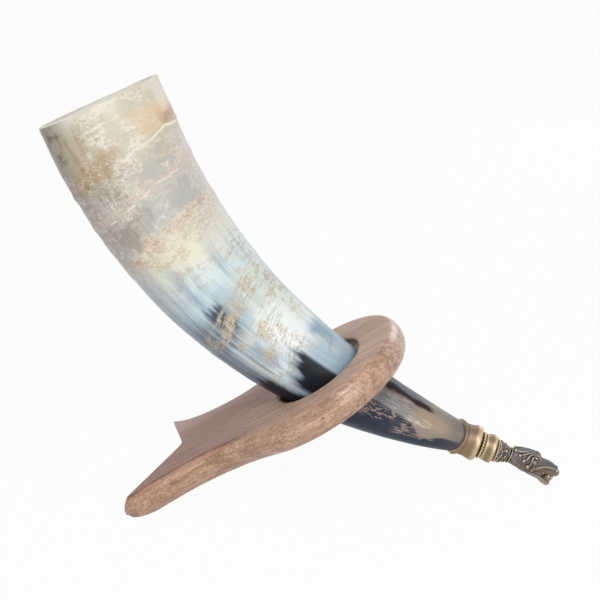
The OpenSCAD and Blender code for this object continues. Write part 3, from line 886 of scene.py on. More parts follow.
class Painter(Desk):
    """Desk of one material with a principled shader."""

    def __init__(self, name, tones=None):
        self.finish = bpy.data.materials.new(name)
        self.finish.use_nodes = True
        super().__init__(self.finish.node_tree, tones)

    def shade(self, inputs):
        """Gives the shader its inputs and returns the finished material."""
        shader = self.tree.nodes["Principled BSDF"]
        for key, value in inputs.items():
            self.put(shader.inputs[key], value)
        return self.finish


def new_group(name, inputs, outputs, tones=None):
    """Node group with sockets of the given kinds; returns its desk, what is given and what is put out."""
    tree = bpy.data.node_groups.new(name, "ShaderNodeTree")
    for in_out, sockets in (("INPUT", inputs), ("OUTPUT", outputs)):
        for label, kind in sockets.items():
            tree.interface.new_socket(name=label, in_out=in_out, socket_type="NodeSocket" + kind)
    desk = Desk(tree, tones)
    return desk, desk.add("NodeGroupInput").outputs, desk.add("NodeGroupOutput").inputs


# Horn finish

# The horn's patterns lie on a straight rod of this radius, in millimetres
STRAND_RADIUS = 28


def unrolled_group(curve):
    """Place along the horn in millimetres, angle round it in degrees and a seamless straightened place."""
    outputs = {"Along": "Float", "Round": "Float", "Strand": "Vector"}
    desk, given, result = new_group("Unrolled Horn", {"UV": "Vector"}, outputs)
    u, v, _ = desk.split(given["UV"])
    along = desk.both(v, curve)
    turn = desk.plus(desk.both(u, 360), SEAM)
    arc = desk.math("RADIANS", turn)
    x = desk.both(desk.math("COSINE", arc), STRAND_RADIUS)
    y = desk.both(desk.math("SINE", arc), STRAND_RADIUS)
    desk.put(result["Along"], along)
    desk.put(result["Round"], turn)
    desk.put(result["Strand"], desk.vector(x, y, along))
    return desk.tree


def mark_group():
    """Patch between two places along and round a middle angle, with soft edges."""
    names = ("Along", "Round", "Start", "End", "Middle", "Half", "Soft", "Soft Round")
    desk, given, result = new_group("Ragged Mark", dict.fromkeys(names, "Float"), {"Mask": "Float"})
    half_soft = desk.both(given["Soft"], 0.5)
    half_round = desk.both(given["Soft Round"], 0.5)
    off = desk.apart(given["Round"], given["Middle"])

    def passed(value, limit, soft):
        return desk.ease(value, desk.minus(limit, soft), desk.plus(limit, soft))

    def within(value, limit, soft):
        return desk.ease(value, desk.plus(limit, soft), desk.minus(limit, soft))

    desk.put(result["Mask"], desk.both(passed(given["Along"], given["Start"], half_soft),
                                       within(given["Along"], given["End"], half_soft),
                                       within(off, given["Half"], half_round)))
    return desk.tree


def band_group():
    """Line that goes round the horn at a slant."""
    names = ("Along", "Round", "Base", "Tilt", "Width")
    desk, given, result = new_group("Growth Band", dict.fromkeys(names, "Float"), {"Mask": "Float"})
    line = desk.minus(given["Base"], desk.both(desk.cosine(given["Round"]), given["Tilt"]))
    desk.put(result["Mask"], desk.ease(desk.apart(given["Along"], line), given["Width"], 0.0))
    return desk.tree


class HornPainter(Painter):
    """Painter of the horn: places along in millimetres, angles round in degrees, shared patterns of wear."""
    # How far the unrest of the edges moves a mark, a window and a band, in millimetres or degrees
    mark_sway = 26
    window_shift = 30
    window_sway = 70
    band_shift = 9

    def __init__(self, tones, curve):
        super().__init__("natural_horn", tones)
        self.curve = curve
        self.uv = self.coordinates("UV")
        self.along, self.turn, self.strand = self.use(unrolled_group(curve), {"UV": self.uv})
        self.marks = mark_group()
        self.bands = band_group()
        x, y, _ = self.split(self.strand)
        slanted = self.vector(x, y, self.plus(self.along, self.both(x, 0.5)))
        # Soft patterns
        self.streaks = self.ease(self.texture(0.22, 0.011, 5), 0.44, 0.66)
        self.fibres = self.texture(1.3, 0.03, 3)
        self.clouds = self.ease(self.texture(0.07, 0.05), 0.42, 0.58)
        self.clumps = self.ease(self.texture(0.11, 0.16), 0.44, 0.56)
        self.grit = self.texture(0.9, 0.9, 5)
        # Unrest of the marks' edges, between -0.5 and 0.5
        self.jag = self.minus(self.texture(0.5, 0.03), 0.5)
        self.wander = self.minus(self.texture(0.06, 0.06), 0.5)
        self.ragged = self.minus(self.texture(0.16, 0.16), 0.5)
        self.rough_edge = self.minus(self.texture(0.2, 0.2, 5), 0.5)
        self.teeth = self.minus(self.texture(0.24, 0.022), 0.5)
        # Fine lines
        self.veins = self.lines(0.2, 0.3, 5, 0.03)
        self.worms = self.lines(0.15, 0.26, 4, 0.035)
        self.crackle = self.lines(0.36, 0.42, 4, 0.06)
        self.across = self.lines(0.055, 0.26, 4, 0.065, slanted)
        self.strokes = self.lines(0.1, 0.55, 3, 0.06, slanted)
        self.loops = self.lines(0.09, 0.07, 3, 0.028)
        self.scratches = self.lines(0.45, 0.04, 3, 0.05)
        self.hair = self.lines(0.8, 0.06, 2, 0.04)
        self.grooves = self.lines(0.24, 0.055, 3, 0.055)
        self.rings = self.lines(0.015, 0.42, 3, 0.05)
        self.nicks = self.lines(0.3, 0.2, 3, 0.03)

    def texture(self, round_scale, along_scale, detail=4, vector=None):
        return self.stretched(vector or self.strand, (round_scale, round_scale, along_scale), detail, 0.6)

    def lines(self, round_scale, along_scale, detail, width, vector=None):
        """Lines of a width where a texture passes its middle value."""
        off = self.apart(self.texture(round_scale, along_scale, detail, vector), 0.5)
        return self.ease(off, width, 0.3 * width)

    def mark(self, length, side, soft=(6, 8), jagged=0, place=None, facing=None):
        """Patch by start and end along, middle and half angle, softness along and round, and jagged ends."""
        if place is None:
            place = self.plus(self.along, self.both(self.jag, jagged)) if jagged else self.along
        if facing is None:
            facing = self.plus(self.turn, self.both(self.wander, self.mark_sway))
        inputs = {"Along": place, "Round": facing, "Start": length[0], "End": length[1], "Middle": side[0],
                  "Half": side[1], "Soft": soft[0], "Soft Round": soft[1]}
        return self.use(self.marks, inputs)[0]

    def window(self, length, side):
        """Patch with ragged edges all round."""
        place = self.plus(self.along, self.both(self.ragged, self.window_shift))
        facing = self.plus(self.turn, self.both(self.rough_edge, self.window_sway))
        return self.mark(length, side, (6, 10), place=place, facing=facing)

    def front(self, start, side, soft, reach):
        """Patch that begins further down the horn the more it faces down, with long soft teeth."""
        lead = self.both(self.plus(self.turn, 62), 0.4)
        place = self.plus(self.plus(self.along, lead), self.both(self.teeth, reach))
        return self.mark((start, 300), side, (soft, 5), place=place, facing=self.turn)

    def band(self, base, tilt, width):
        """Slanted line round the horn."""
        place = self.plus(self.along, self.both(self.wander, self.band_shift))
        inputs = {"Along": place, "Round": self.turn, "Base": base, "Tilt": tilt, "Width": width}
        return self.use(self.bands, inputs)[0]


def paint_ground(horn):
    """Main tones along the horn, for its upper side and for its underside, whose darker tones are partly
    painted shade.
    """
    position = horn.math("DIVIDE", horn.plus(horn.along, horn.both(horn.wander, 12)), horn.curve)
    over = horn.ramp(position, [
        (0, "cream"), (0.05, "cream"), (0.11, (206, 198, 180)), (0.16, (206, 201, 190)),
        (0.25, (200, 199, 190)), (0.29, (220, 212, 195)), (0.33, (226, 225, 210)), (0.38, (218, 228, 225)),
        (0.42, "ice"), (0.48, (196, 212, 216)), (0.53, (216, 226, 222)), (0.58, (232, 239, 235)),
        (0.62, (228, 241, 244)), (0.66, (186, 206, 217)), (0.71, (160, 184, 199)), (0.81, (106, 109, 116)),
        (0.87, (128, 126, 126)), (0.92, "taupe"), (1, (146, 139, 129))])
    # Underside tones: the horn's own darker colour with painted shade of the side turned from the light
    under = horn.ramp(position, [
        (0, (150, 138, 129)), (0.07, (164, 154, 146)), (0.14, (154, 144, 137)), (0.25, (172, 165, 160)),
        (0.32, (190, 193, 196)), (0.4, (184, 194, 202)), (0.46, (134, 148, 162)), (0.54, (136, 148, 160)),
        (0.6, (108, 110, 116)), (0.64, "flame_black_and_shadow"), (0.72, "slate"), (1, "slate")])
    horn.coat = horn.mix(horn.ease(horn.cosine(horn.turn), -0.08, -0.74), over, under)


def paint_mouth(horn):
    """Olive stain, brown spots, pale flecks, a warm band at the right and a step with a bright lip."""
    streaky = horn.ease(horn.streaks, -0.6, 0.6)
    horn.paint((166, 144, 106), 0.9, horn.mark((6, 44), (-100, 22), (14, 24)), streaky)
    horn.paint((104, 90, 84), 0.85, horn.mark((3, 24), (-126, 9), (8, 8)), horn.clumps)
    horn.paint((200, 192, 170), 0.6, horn.mark((-4, 30), (-60, 60), (8, 30)), horn.clouds)
    flecks = horn.either(horn.worms, horn.crackle)
    horn.paint((244, 240, 228), 0.7, horn.mark((2, 34), (-55, 42), (10, 34)), flecks, horn.clumps)
    gritty = horn.ease(horn.grit, 0.34, 0.54)
    horn.paint((228, 202, 164), 0.85, horn.mark((13, 28), (-20, 26), (7, 24)), gritty)
    horn.paint((170, 136, 108), 0.7, horn.mark((21, 28), (-8, 9), (4, 10)))
    rings = horn.both(horn.rings, horn.ease(horn.clumps, -0.4, 0.8))
    horn.paint((178, 150, 118), 0.16, horn.mark((7, 33), (-44, 56), (10, 30)), rings)
    brown = horn.either(horn.mark((10, 52), (-102, 34), (8, 36)), horn.mark((10, 42), (2, 20), (8, 16)))
    dirt = horn.both(horn.ease(horn.grit, 0.3, 0.52), horn.ease(horn.clouds, -0.8, 0.8))
    horn.paint((176, 150, 112), 0.85, brown, horn.band(31, 8.5, 7), dirt)
    horn.paint((244, 239, 222), 0.9, horn.band(36.5, 8.5, 1.7), horn.mark((10, 60), (-30, 46), (6, 10)))


def paint_worn_part(horn):
    """Grey windows between worn patches; returns the mask of the wear."""
    grey = [((41, 54), (-56, 10)), ((61, 76), (-72, 10)), ((58, 78), (-36, 16)), ((38, 50), (-40, 9)),
            ((64, 82), (-106, 14)), ((40, 56), (-94, 13))]
    windows = horn.either(*(horn.window(length, side) for length, side in grey))
    horn.paint((184, 183, 174), 0.75, windows)
    horn.paint((150, 158, 164), 0.6, horn.mark((63, 71), (-73, 5)), horn.ease(horn.clumps, -0.5, 0.7))
    stained = horn.either(horn.window((63, 80), (-98, 14)), horn.window((42, 54), (-92, 10)))
    horn.paint((158, 150, 132), 0.6, stained)
    worn = horn.minus(horn.mark((30, 99), (-60, 400), (12, 8)), windows)
    horn.paint((202, 178, 158), 0.55, worn, horn.crackle, horn.ease(horn.clouds, -0.6, 1))
    pale = horn.either(horn.worms, horn.both(horn.veins, horn.clumps))
    horn.paint((240, 234, 222), 0.6, worn, pale, horn.ease(horn.clumps, -0.5, 1))
    horn.paint((146, 130, 112), 0.4, worn, horn.clumps, horn.nicks)
    scraped = horn.either(horn.both(horn.scratches, horn.clumps), horn.worms)
    horn.paint((230, 227, 216), 0.7, horn.window((40, 60), (-86, 12)), scraped)
    fibrous = horn.ease(horn.fibres, 0.5, 0.62)
    horn.paint((140, 130, 108), 0.35, horn.mark((42, 80), (-96, 20), (16, 24)), fibrous)
    return worn


def paint_growth_bands(horn):
    """Warm bands round the upper part and the pale patch below them."""
    horn.paint((214, 194, 177), 0.8, horn.band(57, 7, 3.8), horn.ease(horn.grit, 0.36, 0.56))
    horn.paint((238, 232, 220), 0.7, horn.band(59.5, 7, 1.3), horn.clumps)
    horn.paint("peach", 0.55, horn.band(85, 6, 8), horn.either(horn.crackle, horn.clumps))
    scratched = horn.both(horn.either(horn.worms, horn.veins), horn.ease(horn.clouds, -0.6, 0.8))
    horn.paint((240, 234, 224), 0.7, horn.band(86, 6, 9), scratched)
    horn.paint((164, 124, 100), 0.5, horn.band(84.5, 6, 4), horn.crackle, horn.clumps)
    horn.paint((232, 228, 203), 0.75, horn.mark((88, 108), (-72, 24), (12, 26)))
    cracks = horn.both(horn.either(horn.veins, horn.crackle), horn.clumps)
    horn.paint((192, 166, 132), 0.5, horn.mark((84, 122), (-74, 34), (10, 26)), cracks)


def paint_middle(horn):
    """Bluish white middle with soft blue and white streaks along the horn, a white patch that is partly a
    painted highlight, and a bluish white painted reflection along the right edge.
    """
    middle = horn.mark((108, 214), (-60, 400), (34, 8))
    horn.paint((136, 164, 182), 0.6, middle, horn.streaks)
    horn.paint((242, 248, 248), 0.35, middle, horn.ease(horn.fibres, 0.52, 0.66))
    horn.paint((136, 164, 182), 0.55, horn.mark((101, 132), (-88, 6), (20, 14)))
    horn.paint((150, 176, 190), 0.5, horn.mark((126, 158), (-62, 10), (14, 12), 20))
    horn.paint((226, 231, 216), 0.6, horn.mark((126, 184), (-28, 26), (20, 26)))
    horn.paint((70, 92, 114), 0.75, horn.mark((136, 158), (-102, 26), (12, 22), 34),
               horn.ease(horn.streaks, -0.6, 0.4))
    horn.paint((52, 68, 88), 0.85, horn.mark((134, 150), (-84, 10), (7, 10), 26))
    horn.paint((96, 118, 138), 0.6, horn.mark((146, 190), (-112, 16), (12, 16), 30),
               horn.ease(horn.streaks, -0.3, 0.6))
    # White patch, partly the horn's own pale colour and partly a painted highlight
    horn.paint((244, 250, 250), 0.85, horn.mark((157, 192), (-42, 20), (14, 22)))
    horn.paint((122, 152, 174), 0.7, horn.mark((166, 184), (-86, 8), (12, 10), 20))
    horn.paint((128, 158, 178), 0.75, horn.mark((188, 207), (-8, 15), (10, 14), 16))
    # Painted reflection of the white surroundings: bluish white along the horn's right edge
    horn.paint((222, 228, 236), 0.55, horn.mark((34, 150), (20, 18), (20, 20)))


def paint_tracks(horn):
    """Worn tan tracks across the middle; returns their mask."""
    wide_track = horn.both(horn.band(147, 10, 10), horn.mark((118, 172), (-78, 46), (8, 14)))
    next_track = horn.both(horn.band(183, 36, 7), horn.mark((150, 184), (-66, 22), (8, 14)))
    broken = horn.both(horn.strokes, horn.clumps)
    tracks = horn.either(
        horn.both(horn.ease(wide_track, 0.05, 0.5), horn.either(horn.across, broken)),
        horn.both(horn.ease(next_track, 0.05, 0.5), horn.across, horn.ease(horn.clumps, -0.3, 0.6)),
        horn.both(horn.mark((156, 196), (-70, 36), (12, 24)), broken),
        horn.both(horn.mark((104, 176), (-14, 20), (14, 16)), horn.across, horn.clumps))
    uneven = horn.ease(horn.ragged, -0.1, 0.12)
    horn.paint((200, 188, 166), 0.3, wide_track, uneven)
    horn.paint((206, 196, 160), 0.4, horn.ease(next_track, 0, 0.8), uneven)
    horn.paint("scar", 0.78, tracks, horn.ease(horn.grit, 0.3, 0.5))
    horn.paint((150, 128, 102), 0.5, tracks, horn.ease(horn.grit, 0.52, 0.6))
    horn.paint((226, 216, 194), 0.55, tracks, horn.ease(horn.fibres, 0.5, 0.6))
    horn.paint((226, 218, 200), 0.5, horn.mark((196, 216), (-28, 18), (8, 14)), horn.across, horn.clumps)
    return tracks


def paint_dark_end(horn):
    """Black flames, the slate underside and the brown end with its scars; returns the scars' mask."""
    fading = horn.ease(horn.along, 246, 226)
    horn.paint((74, 92, 114), 0.8, horn.front(189, (-77, 23), 14, 28), fading)
    flames = horn.either(
        horn.front(193, (-76, 20), 6, 21),
        horn.mark((186, 250), (-139, 26), (8, 10), 34),
        horn.mark((200, 270), (62, 24), (3, 6), 40),
        horn.mark((206, 268), (-215, 26), (3, 6), 40))
    streak = horn.mark((232, 282), (-19, 6.5), (3, 5), 20)
    horn.paint((80, 87, 102), 0.85, horn.mark((226, 280), (14, 26), (18, 14)))
    horn.paint((214, 210, 204), 0.4, horn.mark((240, 276), (-48, 20), (12, 16)), horn.hair)
    horn.paint((176, 152, 126), 0.6, horn.mark((276, 298), (-54, 22), (10, 20)))
    # The slate draws back from the tip, with one bay near the end
    edge = horn.plus(horn.turn, horn.ease(horn.along, 246, 302, 0, 24))
    edge = horn.plus(edge, horn.ease(horn.apart(horn.along, 285), 12, 2, 0, 18))
    edge = horn.plus(edge, horn.both(horn.jag, 16))
    horn.paint("slate", 0.95, horn.mark((222, 330), (-110, 50), (10, 8), facing=edge))
    horn.paint((92, 66, 52), 0.8, horn.mark((230, 284), (-20, 10), (3, 5), 24))
    horn.paint("flame_black_and_shadow", 0.95, horn.either(horn.both(flames, fading), streak))
    scarred = horn.either(horn.mark((242, 277), (-78, 12), (8, 8)), horn.mark((266, 290), (-100, 9), (8, 8)))
    cuts = horn.either(horn.loops, horn.both(horn.grooves, horn.ease(horn.clumps, -0.2, 0.7)))
    low_scars = horn.both(scarred, cuts, horn.ease(horn.grit, 0.3, 0.5))
    horn.paint((178, 158, 144), 0.85, low_scars)
    fine_cuts = horn.either(horn.hair, horn.grooves)
    horn.paint((222, 216, 208), 0.6, horn.mark((270, 287), (-66, 7), (5, 7)), fine_cuts)
    return low_scars


def paint_ends(horn):
    """Painted contact shadow at the ferrule's scalloped lip, darker grey towards the ferrule, and a rim and
    hollow painted pale against their shade; returns the hollow's mask.
    """
    scallop = horn.both(horn.math("ABSOLUTE", horn.cosine(horn.plus(horn.turn, SCALLOP_TURN))), SCALLOP)
    # Painted contact shadow in flame black where the ferrule's scalloped lip meets the horn
    horn.paint("flame_black_and_shadow", 0.85, horn.ease(horn.minus(horn.along, scallop), 301.4, 302.6))
    horn.paint((96, 94, 92), 0.5, horn.ease(horn.along, 292, 308))
    # Painted light: the rim is painted pale against its own shading
    horn.paint((234, 228, 214), 0.9, horn.ease(horn.math("ABSOLUTE", horn.along), 1.5, 0.7))
    # The skin's own map runs below zero inside the hollow
    inside = horn.ease(horn.both(horn.split(horn.uv)[1], horn.curve), -0.2, -1.2)
    # Painted light: the hollow is painted near white to lighten its shaded inner wall
    horn.paint((248, 242, 228), 1, inside)
    return inside


def horn_finish(tones, sizes):
    """Natural horn: cream at the mouth, bluish white below, black flames, slate and taupe at the tip."""
    horn = HornPainter(tones, sizes.curve / MM)
    paint_ground(horn)
    paint_mouth(horn)
    worn = paint_worn_part(horn)
    paint_growth_bands(horn)
    paint_middle(horn)
    tracks = paint_tracks(horn)
    low_scars = paint_dark_end(horn)
    inside = paint_ends(horn)
    rough = horn.either(tracks, low_scars)
    height = horn.plus(horn.both(horn.fibres, 0.12), horn.both(rough, 0.5))
    height = horn.plus(height, horn.both(worn, horn.crackle, 0.3))
    return horn.shade({
        "Base Color": horn.coat,
        "Roughness": horn.plus(horn.ease(rough, 0, 1, 0.34, 0.6), horn.both(inside, 0.25)),
        "Specular IOR Level": 0.13,
        "Subsurface Weight": horn.both(inside, 0.9),
        "Subsurface Radius": (1, 0.92, 0.8),
        "Subsurface Scale": 5 * MM,
        "Normal": horn.bump(height, 0.25, 0.6 * MM)})


# Other finishes

def wood_finish(tones):
    """Oiled reddish wood: straight grain along the board, fine pores, short flecks and a paler head."""
    wood = Painter("oiled_wood", tones)
    timber = wood.attribute("timber", "Vector")
    along, across, depth = wood.split(timber)
    sway = wood.stretched(timber, (0.012, 0.02, 0.02), 2, 0.55)
    shift = wood.vector(0, wood.both(sway, 14), wood.both(sway, 9))
    bent = wood.add("ShaderNodeVectorMath", {0: timber, 1: shift}, operation="ADD").outputs[0]
    grain = wood.stretched(bent, (0.01, 0.3, 0.3), 6, 0.65)
    fine = wood.stretched(bent, (0.05, 1.5, 1.5), 4, 0.65)
    pores = wood.stretched(bent, (0.22, 1.9, 1.9), 3, 0.6)
    speckle = wood.stretched(bent, (0.5, 0.9, 0.9), 5, 0.75)
    clouds = wood.stretched(timber, (0.02, 0.05, 0.05), 3, 0.5)
    flecked = wood.ease(along, 80, 125, 1, 0.35)
    wood.coat = wood.colour("wood")
    wood.paint("wood_dark", 0.75, wood.ease(grain, 0.34, 0.66))
    wood.paint((204, 163, 132), 0.4, wood.ease(clouds, 0.4, 0.7))
    wood.paint((216, 190, 174), 0.6, wood.ease(speckle, 0.5, 0.68), flecked)
    wood.paint((140, 98, 80), 0.5, wood.ease(speckle, 0.48, 0.32), flecked)
    wood.paint("wood_dark", 0.75, wood.ease(fine, 0.5, 0.7))
    wood.paint((84, 56, 44), 0.85, wood.ease(pores, 0.57, 0.66))
    # The top face is painted darker at the tail and lighter at the head and on the far side
    wood.paint((152, 112, 101), 0.7, wood.ease(depth, 0.5, 0.05), wood.ease(along, 130, 50))
    lighter_top = wood.either(wood.ease(along, 80, 140, 0, 0.32), wood.ease(across, 14, 44, 0, 0.5))
    wood.paint((232, 204, 190), 1, wood.ease(depth, 1.2, 0.1), lighter_top)
    # Painted shade of the crease along the tail's upper edge, as a dark line, with an orange strip below it
    tail = wood.ease(along, 100, 70)
    wood.paint((104, 70, 60), 0.6, wood.ease(depth, 0.02, 0.2), wood.ease(depth, 1.5, 0.5), tail)
    wood.paint((192, 136, 102), 0.45, wood.ease(depth, 0.8, 1.6), wood.ease(depth, 4, 2), tail)
    height = wood.minus(wood.both(fine, 0.4), wood.ease(pores, 0.58, 0.7))
    return wood.shade({
        "Base Color": wood.coat,
        "Roughness": wood.ease(fine, 0.3, 0.7, 0.36, 0.5),
        "Specular IOR Level": 0.22,
        "Coat Weight": wood.both(wood.ease(depth, 0.05, 1.2), wood.ease(along, 80, 120, 0.42, 0.9)),
        "Coat Roughness": 0.26,
        "Normal": wood.bump(height, 0.35, 0.4 * MM)})


def brass_group(tones):
    """Antique brass: polished where it stands out, lighter towards the bottom, dark in hollows, and brown on
    upward faces as a painted reflection.
    """
    inputs = {"Place": "Vector", "Raised": "Float", "Upward": "Float", "Film": "Float", "Brown": "Float",
              "Hollow": "Float", "Proud": "Float"}
    outputs = {"Color": "Color", "Roughness": "Float", "Height": "Float"}
    desk, given, result = new_group("Antique Brass", inputs, outputs, tones)
    film, hollow, proud = (given[key] for key in ("Film", "Hollow", "Proud"))
    cloud = desk.noise(given["Place"], 230, 4, 0.6)
    speck = desk.noise(given["Place"], 1900, 3, 0.6)
    uneven = desk.both(desk.minus(cloud, 0.5), desk.both(proud, 0.5))
    raised = desk.plus(given["Raised"], uneven)
    height = desk.split(given["Place"])[2]
    desk.coat = desk.colour("brass")
    # Painted reflection: brown on faces turned upwards, standing in for the surroundings they reflect
    desk.paint("upper_reflection_brown", given["Brown"], desk.ease(given["Upward"], 0, 0.3))
    # Grey film in clouds, weaker on faces turned downwards
    film_by_facing = desk.ease(given["Upward"], -0.5, 0, 0.4, 1)
    desk.paint("haze", film, desk.ease(cloud, desk.minus(0.6, film), 0.7), film_by_facing)
    desk.paint("patina", 1, desk.ease(raised, desk.both(hollow, 0.15), hollow))
    desk.paint("brass_worn", 1, desk.ease(raised, desk.both(proud, 0.2), proud))
    # Worn brass laid on more towards the bottom, below about 11 mm
    desk.paint("brass_worn", 0.35, desk.ease(height, 11 * MM, 4 * MM))
    roughness = desk.plus(desk.ease(raised, hollow, proud, 0.6, 0.4), desk.both(speck, 0.1))
    desk.put(result["Color"], desk.coat)
    desk.put(result["Roughness"], roughness)
    desk.put(result["Height"], speck)
    return desk.tree


def brass_finish(name, tones, film, brown, hollow, proud):
    """Brass with its share of grey film and of brown painted on upward faces as a reflection, dark below and
    polished above these millimetres.
    """
    brass = Painter(name, tones)
    normal = brass.add("ShaderNodeNewGeometry").outputs["Normal"]
    group = bpy.data.node_groups.get("Antique Brass") or brass_group(tones)
    inputs = {"Place": brass.coordinates("Object"), "Raised": brass.attribute("raised", "Fac"),
              "Upward": brass.split(normal)[2], "Film": film, "Brown": brown, "Hollow": hollow,
              "Proud": proud}
    tone, roughness, height = brass.use(group, inputs)
    return brass.shade({
        "Base Color": tone,
        "Metallic": 1,
        "Roughness": roughness,
        "Normal": brass.bump(height, 0.15, 0.2 * MM)})


def plain_finish(name, tone, metallic, roughness):
    """Plain finish of a hidden piece, a little uneven."""
    plain = Painter(name)
    cloud = plain.noise(plain.coordinates("Object"), 400)
    deep = [0.6 * level for level in tone]
    uneven = plain.mix(plain.ease(cloud, 0.3, 0.7, 0, 0.4), (*tone, 1), (*deep, 1))
    return plain.shade({"Base Color": uneven, "Metallic": metallic, "Roughness": roughness})


def dress(piece, finish, body, node):
    """Gives a piece its finish and lets it stand for its node."""
    piece.data.materials.clear()
    piece.data.materials.append(finish)
    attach(piece, body)
    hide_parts(node)


# Stage

# Lights: name, place and width in metres, and power in watts
LAMPS = [("key_light", (0.8, -0.95, 0.55), 0.7, 4.6), ("fill_light", (-0.8, -0.9, 0.4), 0.8, 1.6),
         ("top_light", (0.2, -0.62, 0.95), 0.35, 3.4), ("rim_light", (0.45, 1.1, 0.5), 0.5, 1.6)]
LIT_SPOT = (0, 0, 0.11)

# Camera: place in metres, angles in radians, lens and sensor in millimetres
CAMERA_PLACE = (0.101583, -0.606300, 0.348482)
CAMERA_TURN = 0.172797
CAMERA_RISE = 0.350020
CAMERA_ROLL = -0.082643
CAMERA_LENS = 65.5216
CAMERA_SENSOR = 36

WHITE = (1, 1, 1, 1)
FLOOR_SIZE = 30
FLOOR_GREY = (0.85, 0.85, 0.85, 1)
FLOOR_GLOW = 0.95


def seen_plainly(desk):
    """1 for what the camera, gloss or glass shows, 0 for the light that falls on the object."""
    path = desk.add("ShaderNodeLightPath").outputs
    return desk.either(path["Is Camera Ray"], path["Is Glossy Ray"], path["Is Transmission Ray"])


def floor_finish():
    """Pale floor that looks white to the camera and keeps a soft shadow."""
    floor = Painter("pale_floor")
    floor.shade({"Base Color": FLOOR_GREY, "Roughness": 0.9, "Specular IOR Level": 0})
    pale = floor.tree.nodes["Principled BSDF"].outputs[0]
    glow = floor.add("ShaderNodeEmission", {"Color": WHITE, "Strength": 1}).outputs[0]
    share = floor.both(seen_plainly(floor), FLOOR_GLOW)
    blend = floor.add("ShaderNodeMixShader", {0: share, 1: pale, 2: glow})
    floor.put(floor.tree.nodes["Material Output"].inputs["Surface"], blend.outputs[0])
    return floor.finish


def light_room(scene):
    """Even white surroundings and soft lights: right and left of the camera, above and behind the object."""
    world = bpy.data.worlds.new("studio")
    world.use_nodes = True
    desk = Desk(world.node_tree)
    level = desk.ease(desk.split(desk.coordinates("Generated"))[2], 0.05, 0.95, 0.52, 0.36)
    background = world.node_tree.nodes["Background"].inputs
    desk.put(background["Strength"], desk.either(level, seen_plainly(desk)))
    desk.put(background["Color"], WHITE)
    scene.world = world
    for name, spot, size, power in LAMPS:
        bpy.ops.object.light_add(type="AREA", location=spot)
        lamp = bpy.context.active_object
        lamp.name = name
        lamp.data.shape = "DISK"
        lamp.data.size = size
        lamp.data.energy = power
        lamp.rotation_euler = (Vector(LIT_SPOT) - Vector(spot)).to_track_quat("-Z", "Y").to_euler()


def aim_camera(scene):
    """Camera at the angle of the photograph."""
    reach = math.cos(CAMERA_RISE)
    back = Vector((math.sin(CAMERA_TURN) * reach, -math.cos(CAMERA_TURN) * reach, math.sin(CAMERA_RISE)))
    right = Vector((math.cos(CAMERA_TURN), math.sin(CAMERA_TURN), 0))
    up = back.cross(right)
    level = math.cos(CAMERA_ROLL) * right + math.sin(CAMERA_ROLL) * up
    upright = math.cos(CAMERA_ROLL) * up - math.sin(CAMERA_ROLL) * right
    bpy.ops.object.camera_add(location=CAMERA_PLACE)
    camera = bpy.context.active_object
    camera.rotation_euler = Matrix((level, upright, back)).transposed().to_euler()
    camera.data.sensor_width = CAMERA_SENSOR
    camera.data.lens = CAMERA_LENS
    scene.camera = camera
    scene.view_settings.view_transform = "Standard"


# Operators

class DRINKINGHORN_OT_horn(bpy.types.Operator):
    """Model the horn and give it its natural finish"""
    bl_idname = "drinking_horn.horn"
    bl_label = "Horn"

    def execute(self, context):
        sizes = context.scene.horn_sizes
        keratin = horn_finish(context.scene.horn_finishes, sizes)
        dress(build_horn(sizes), keratin, "horn", "horn")
        return {"FINISHED"}


class DRINKINGHORN_OT_stand(bpy.types.Operator):
    """Model the wooden stand board"""
    bl_idname = "drinking_horn.stand"
    bl_label = "Stand"

    def execute(self, context):
        scene = context.scene
        oiled = wood_finish(scene.horn_finishes)
        dress(build_board(scene.stand_sizes, scene.horn_sizes), oiled, "stand", "stand_board")
        return {"FINISHED"}


class DRINKINGHORN_OT_ferrule(bpy.types.Operator):
    """Model the turned ferrule and its two rows of beads"""
    bl_idname = "drinking_horn.ferrule"
    bl_label = "Ferrule and beads"

    def execute(self, context):
        sizes = context.scene.horn_sizes
        tones = context.scene.horn_finishes
        # brown is the share of painted reflection on upward faces
        turned = brass_finish("turned_brass", tones, film=0.3, brown=0.9, hollow=-0.4, proud=0.16)
        beaded = brass_finish("beaded_brass", tones, film=0.3, brown=0.6, hollow=-0.9, proud=0.12)
        dress(build_ferrule(sizes), turned, "horn", "ferrule")
        upper = build_beads("upper_beads", sizes, along=18.5, ring_r=7.55, bead_r=0.95, number=26)
        dress(upper, beaded, "horn", "upper_bead_wire")
        lower = build_beads("lower_beads", sizes, along=28.2, ring_r=6.65, bead_r=0.6, number=36)
        dress(lower, beaded, "horn", "lower_bead_wire")
        return {"FINISHED"}


class DRINKINGHORN_OT_dragon(bpy.types.Operator):
    """Model the cast dragon head"""
    bl_idname = "drinking_horn.dragon"
    bl_label = "Dragon head"

    def execute(self, context):
        scene = context.scene
        # brown is the share of painted reflection on upward faces
        cast = brass_finish("cast_brass", scene.horn_finishes, film=0.9, brown=0.8, hollow=-0.2, proud=0.23)
        dress(build_dragon(scene.horn_sizes), cast, "horn", "dragon_head")
        return {"FINISHED"}


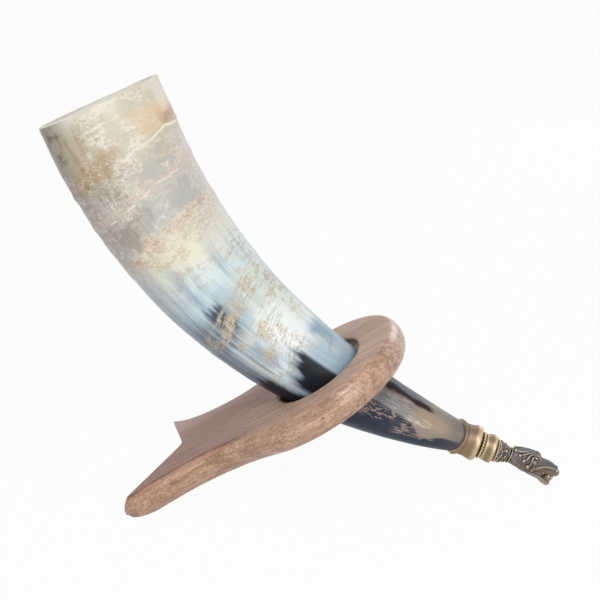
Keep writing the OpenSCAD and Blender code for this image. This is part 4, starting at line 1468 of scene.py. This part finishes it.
class DRINKINGHORN_OT_fixing(bpy.types.Operator):
    """Finish the hidden bedding and stud of the tip"""
    bl_idname = "drinking_horn.fixing"
    bl_label = "Hidden fixing"

    def execute(self, context):
        pitch = plain_finish("pitch", (0.03, 0.025, 0.02), metallic=0, roughness=0.6)
        steel = plain_finish("stud_steel", (0.5, 0.5, 0.52), metallic=1, roughness=0.4)
        for node, finish in (("tip_bedding", pitch), ("tip_stud", steel)):
            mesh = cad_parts[node].data
            mesh.materials.clear()
            mesh.materials.append(finish)
        return {"FINISHED"}


class DRINKINGHORN_OT_stage(bpy.types.Operator):
    """Set the floor, the lights and the camera"""
    bl_idname = "drinking_horn.stage"
    bl_label = "Stage"

    def execute(self, context):
        deselect()
        bpy.ops.mesh.primitive_plane_add(size=FLOOR_SIZE)
        floor = context.active_object
        floor.name = "floor"
        floor.data.materials.append(floor_finish())
        light_room(context.scene)
        aim_camera(context.scene)
        return {"FINISHED"}


STEPS = (DRINKINGHORN_OT_horn, DRINKINGHORN_OT_stand, DRINKINGHORN_OT_ferrule, DRINKINGHORN_OT_dragon,
         DRINKINGHORN_OT_fixing, DRINKINGHORN_OT_stage)


class DRINKINGHORN_PT_panel(bpy.types.Panel):
    """Settings and steps of the drinking horn"""
    bl_idname = "DRINKINGHORN_PT_panel"
    bl_label = "Drinking Horn"
    bl_space_type = "VIEW_3D"
    bl_region_type = "UI"
    bl_category = "Drinking Horn"

    def draw(self, context):
        scene = context.scene
        for group in (scene.horn_sizes, scene.stand_sizes, scene.horn_finishes):
            box = self.layout.box()
            for name in group.__annotations__:
                box.prop(group, name)
        for step in STEPS:
            self.layout.operator(step.bl_idname)


CLASSES = (HornSizes, StandSizes, Finishes) + STEPS + (DRINKINGHORN_PT_panel,)


def register():
    for item in CLASSES:
        bpy.utils.register_class(item)
    bpy.types.Scene.horn_sizes = bpy.props.PointerProperty(type=HornSizes)
    bpy.types.Scene.stand_sizes = bpy.props.PointerProperty(type=StandSizes)
    bpy.types.Scene.horn_finishes = bpy.props.PointerProperty(type=Finishes)


def unregister():
    del bpy.types.Scene.horn_finishes
    del bpy.types.Scene.stand_sizes
    del bpy.types.Scene.horn_sizes
    for item in reversed(CLASSES):
        bpy.utils.unregister_class(item)


def main():
    register()
    bpy.ops.drinking_horn.horn()
    bpy.ops.drinking_horn.stand()
    bpy.ops.drinking_horn.ferrule()
    bpy.ops.drinking_horn.dragon()
    bpy.ops.drinking_horn.fixing()
    bpy.ops.drinking_horn.stage()


if __name__ == "__main__":
    main()
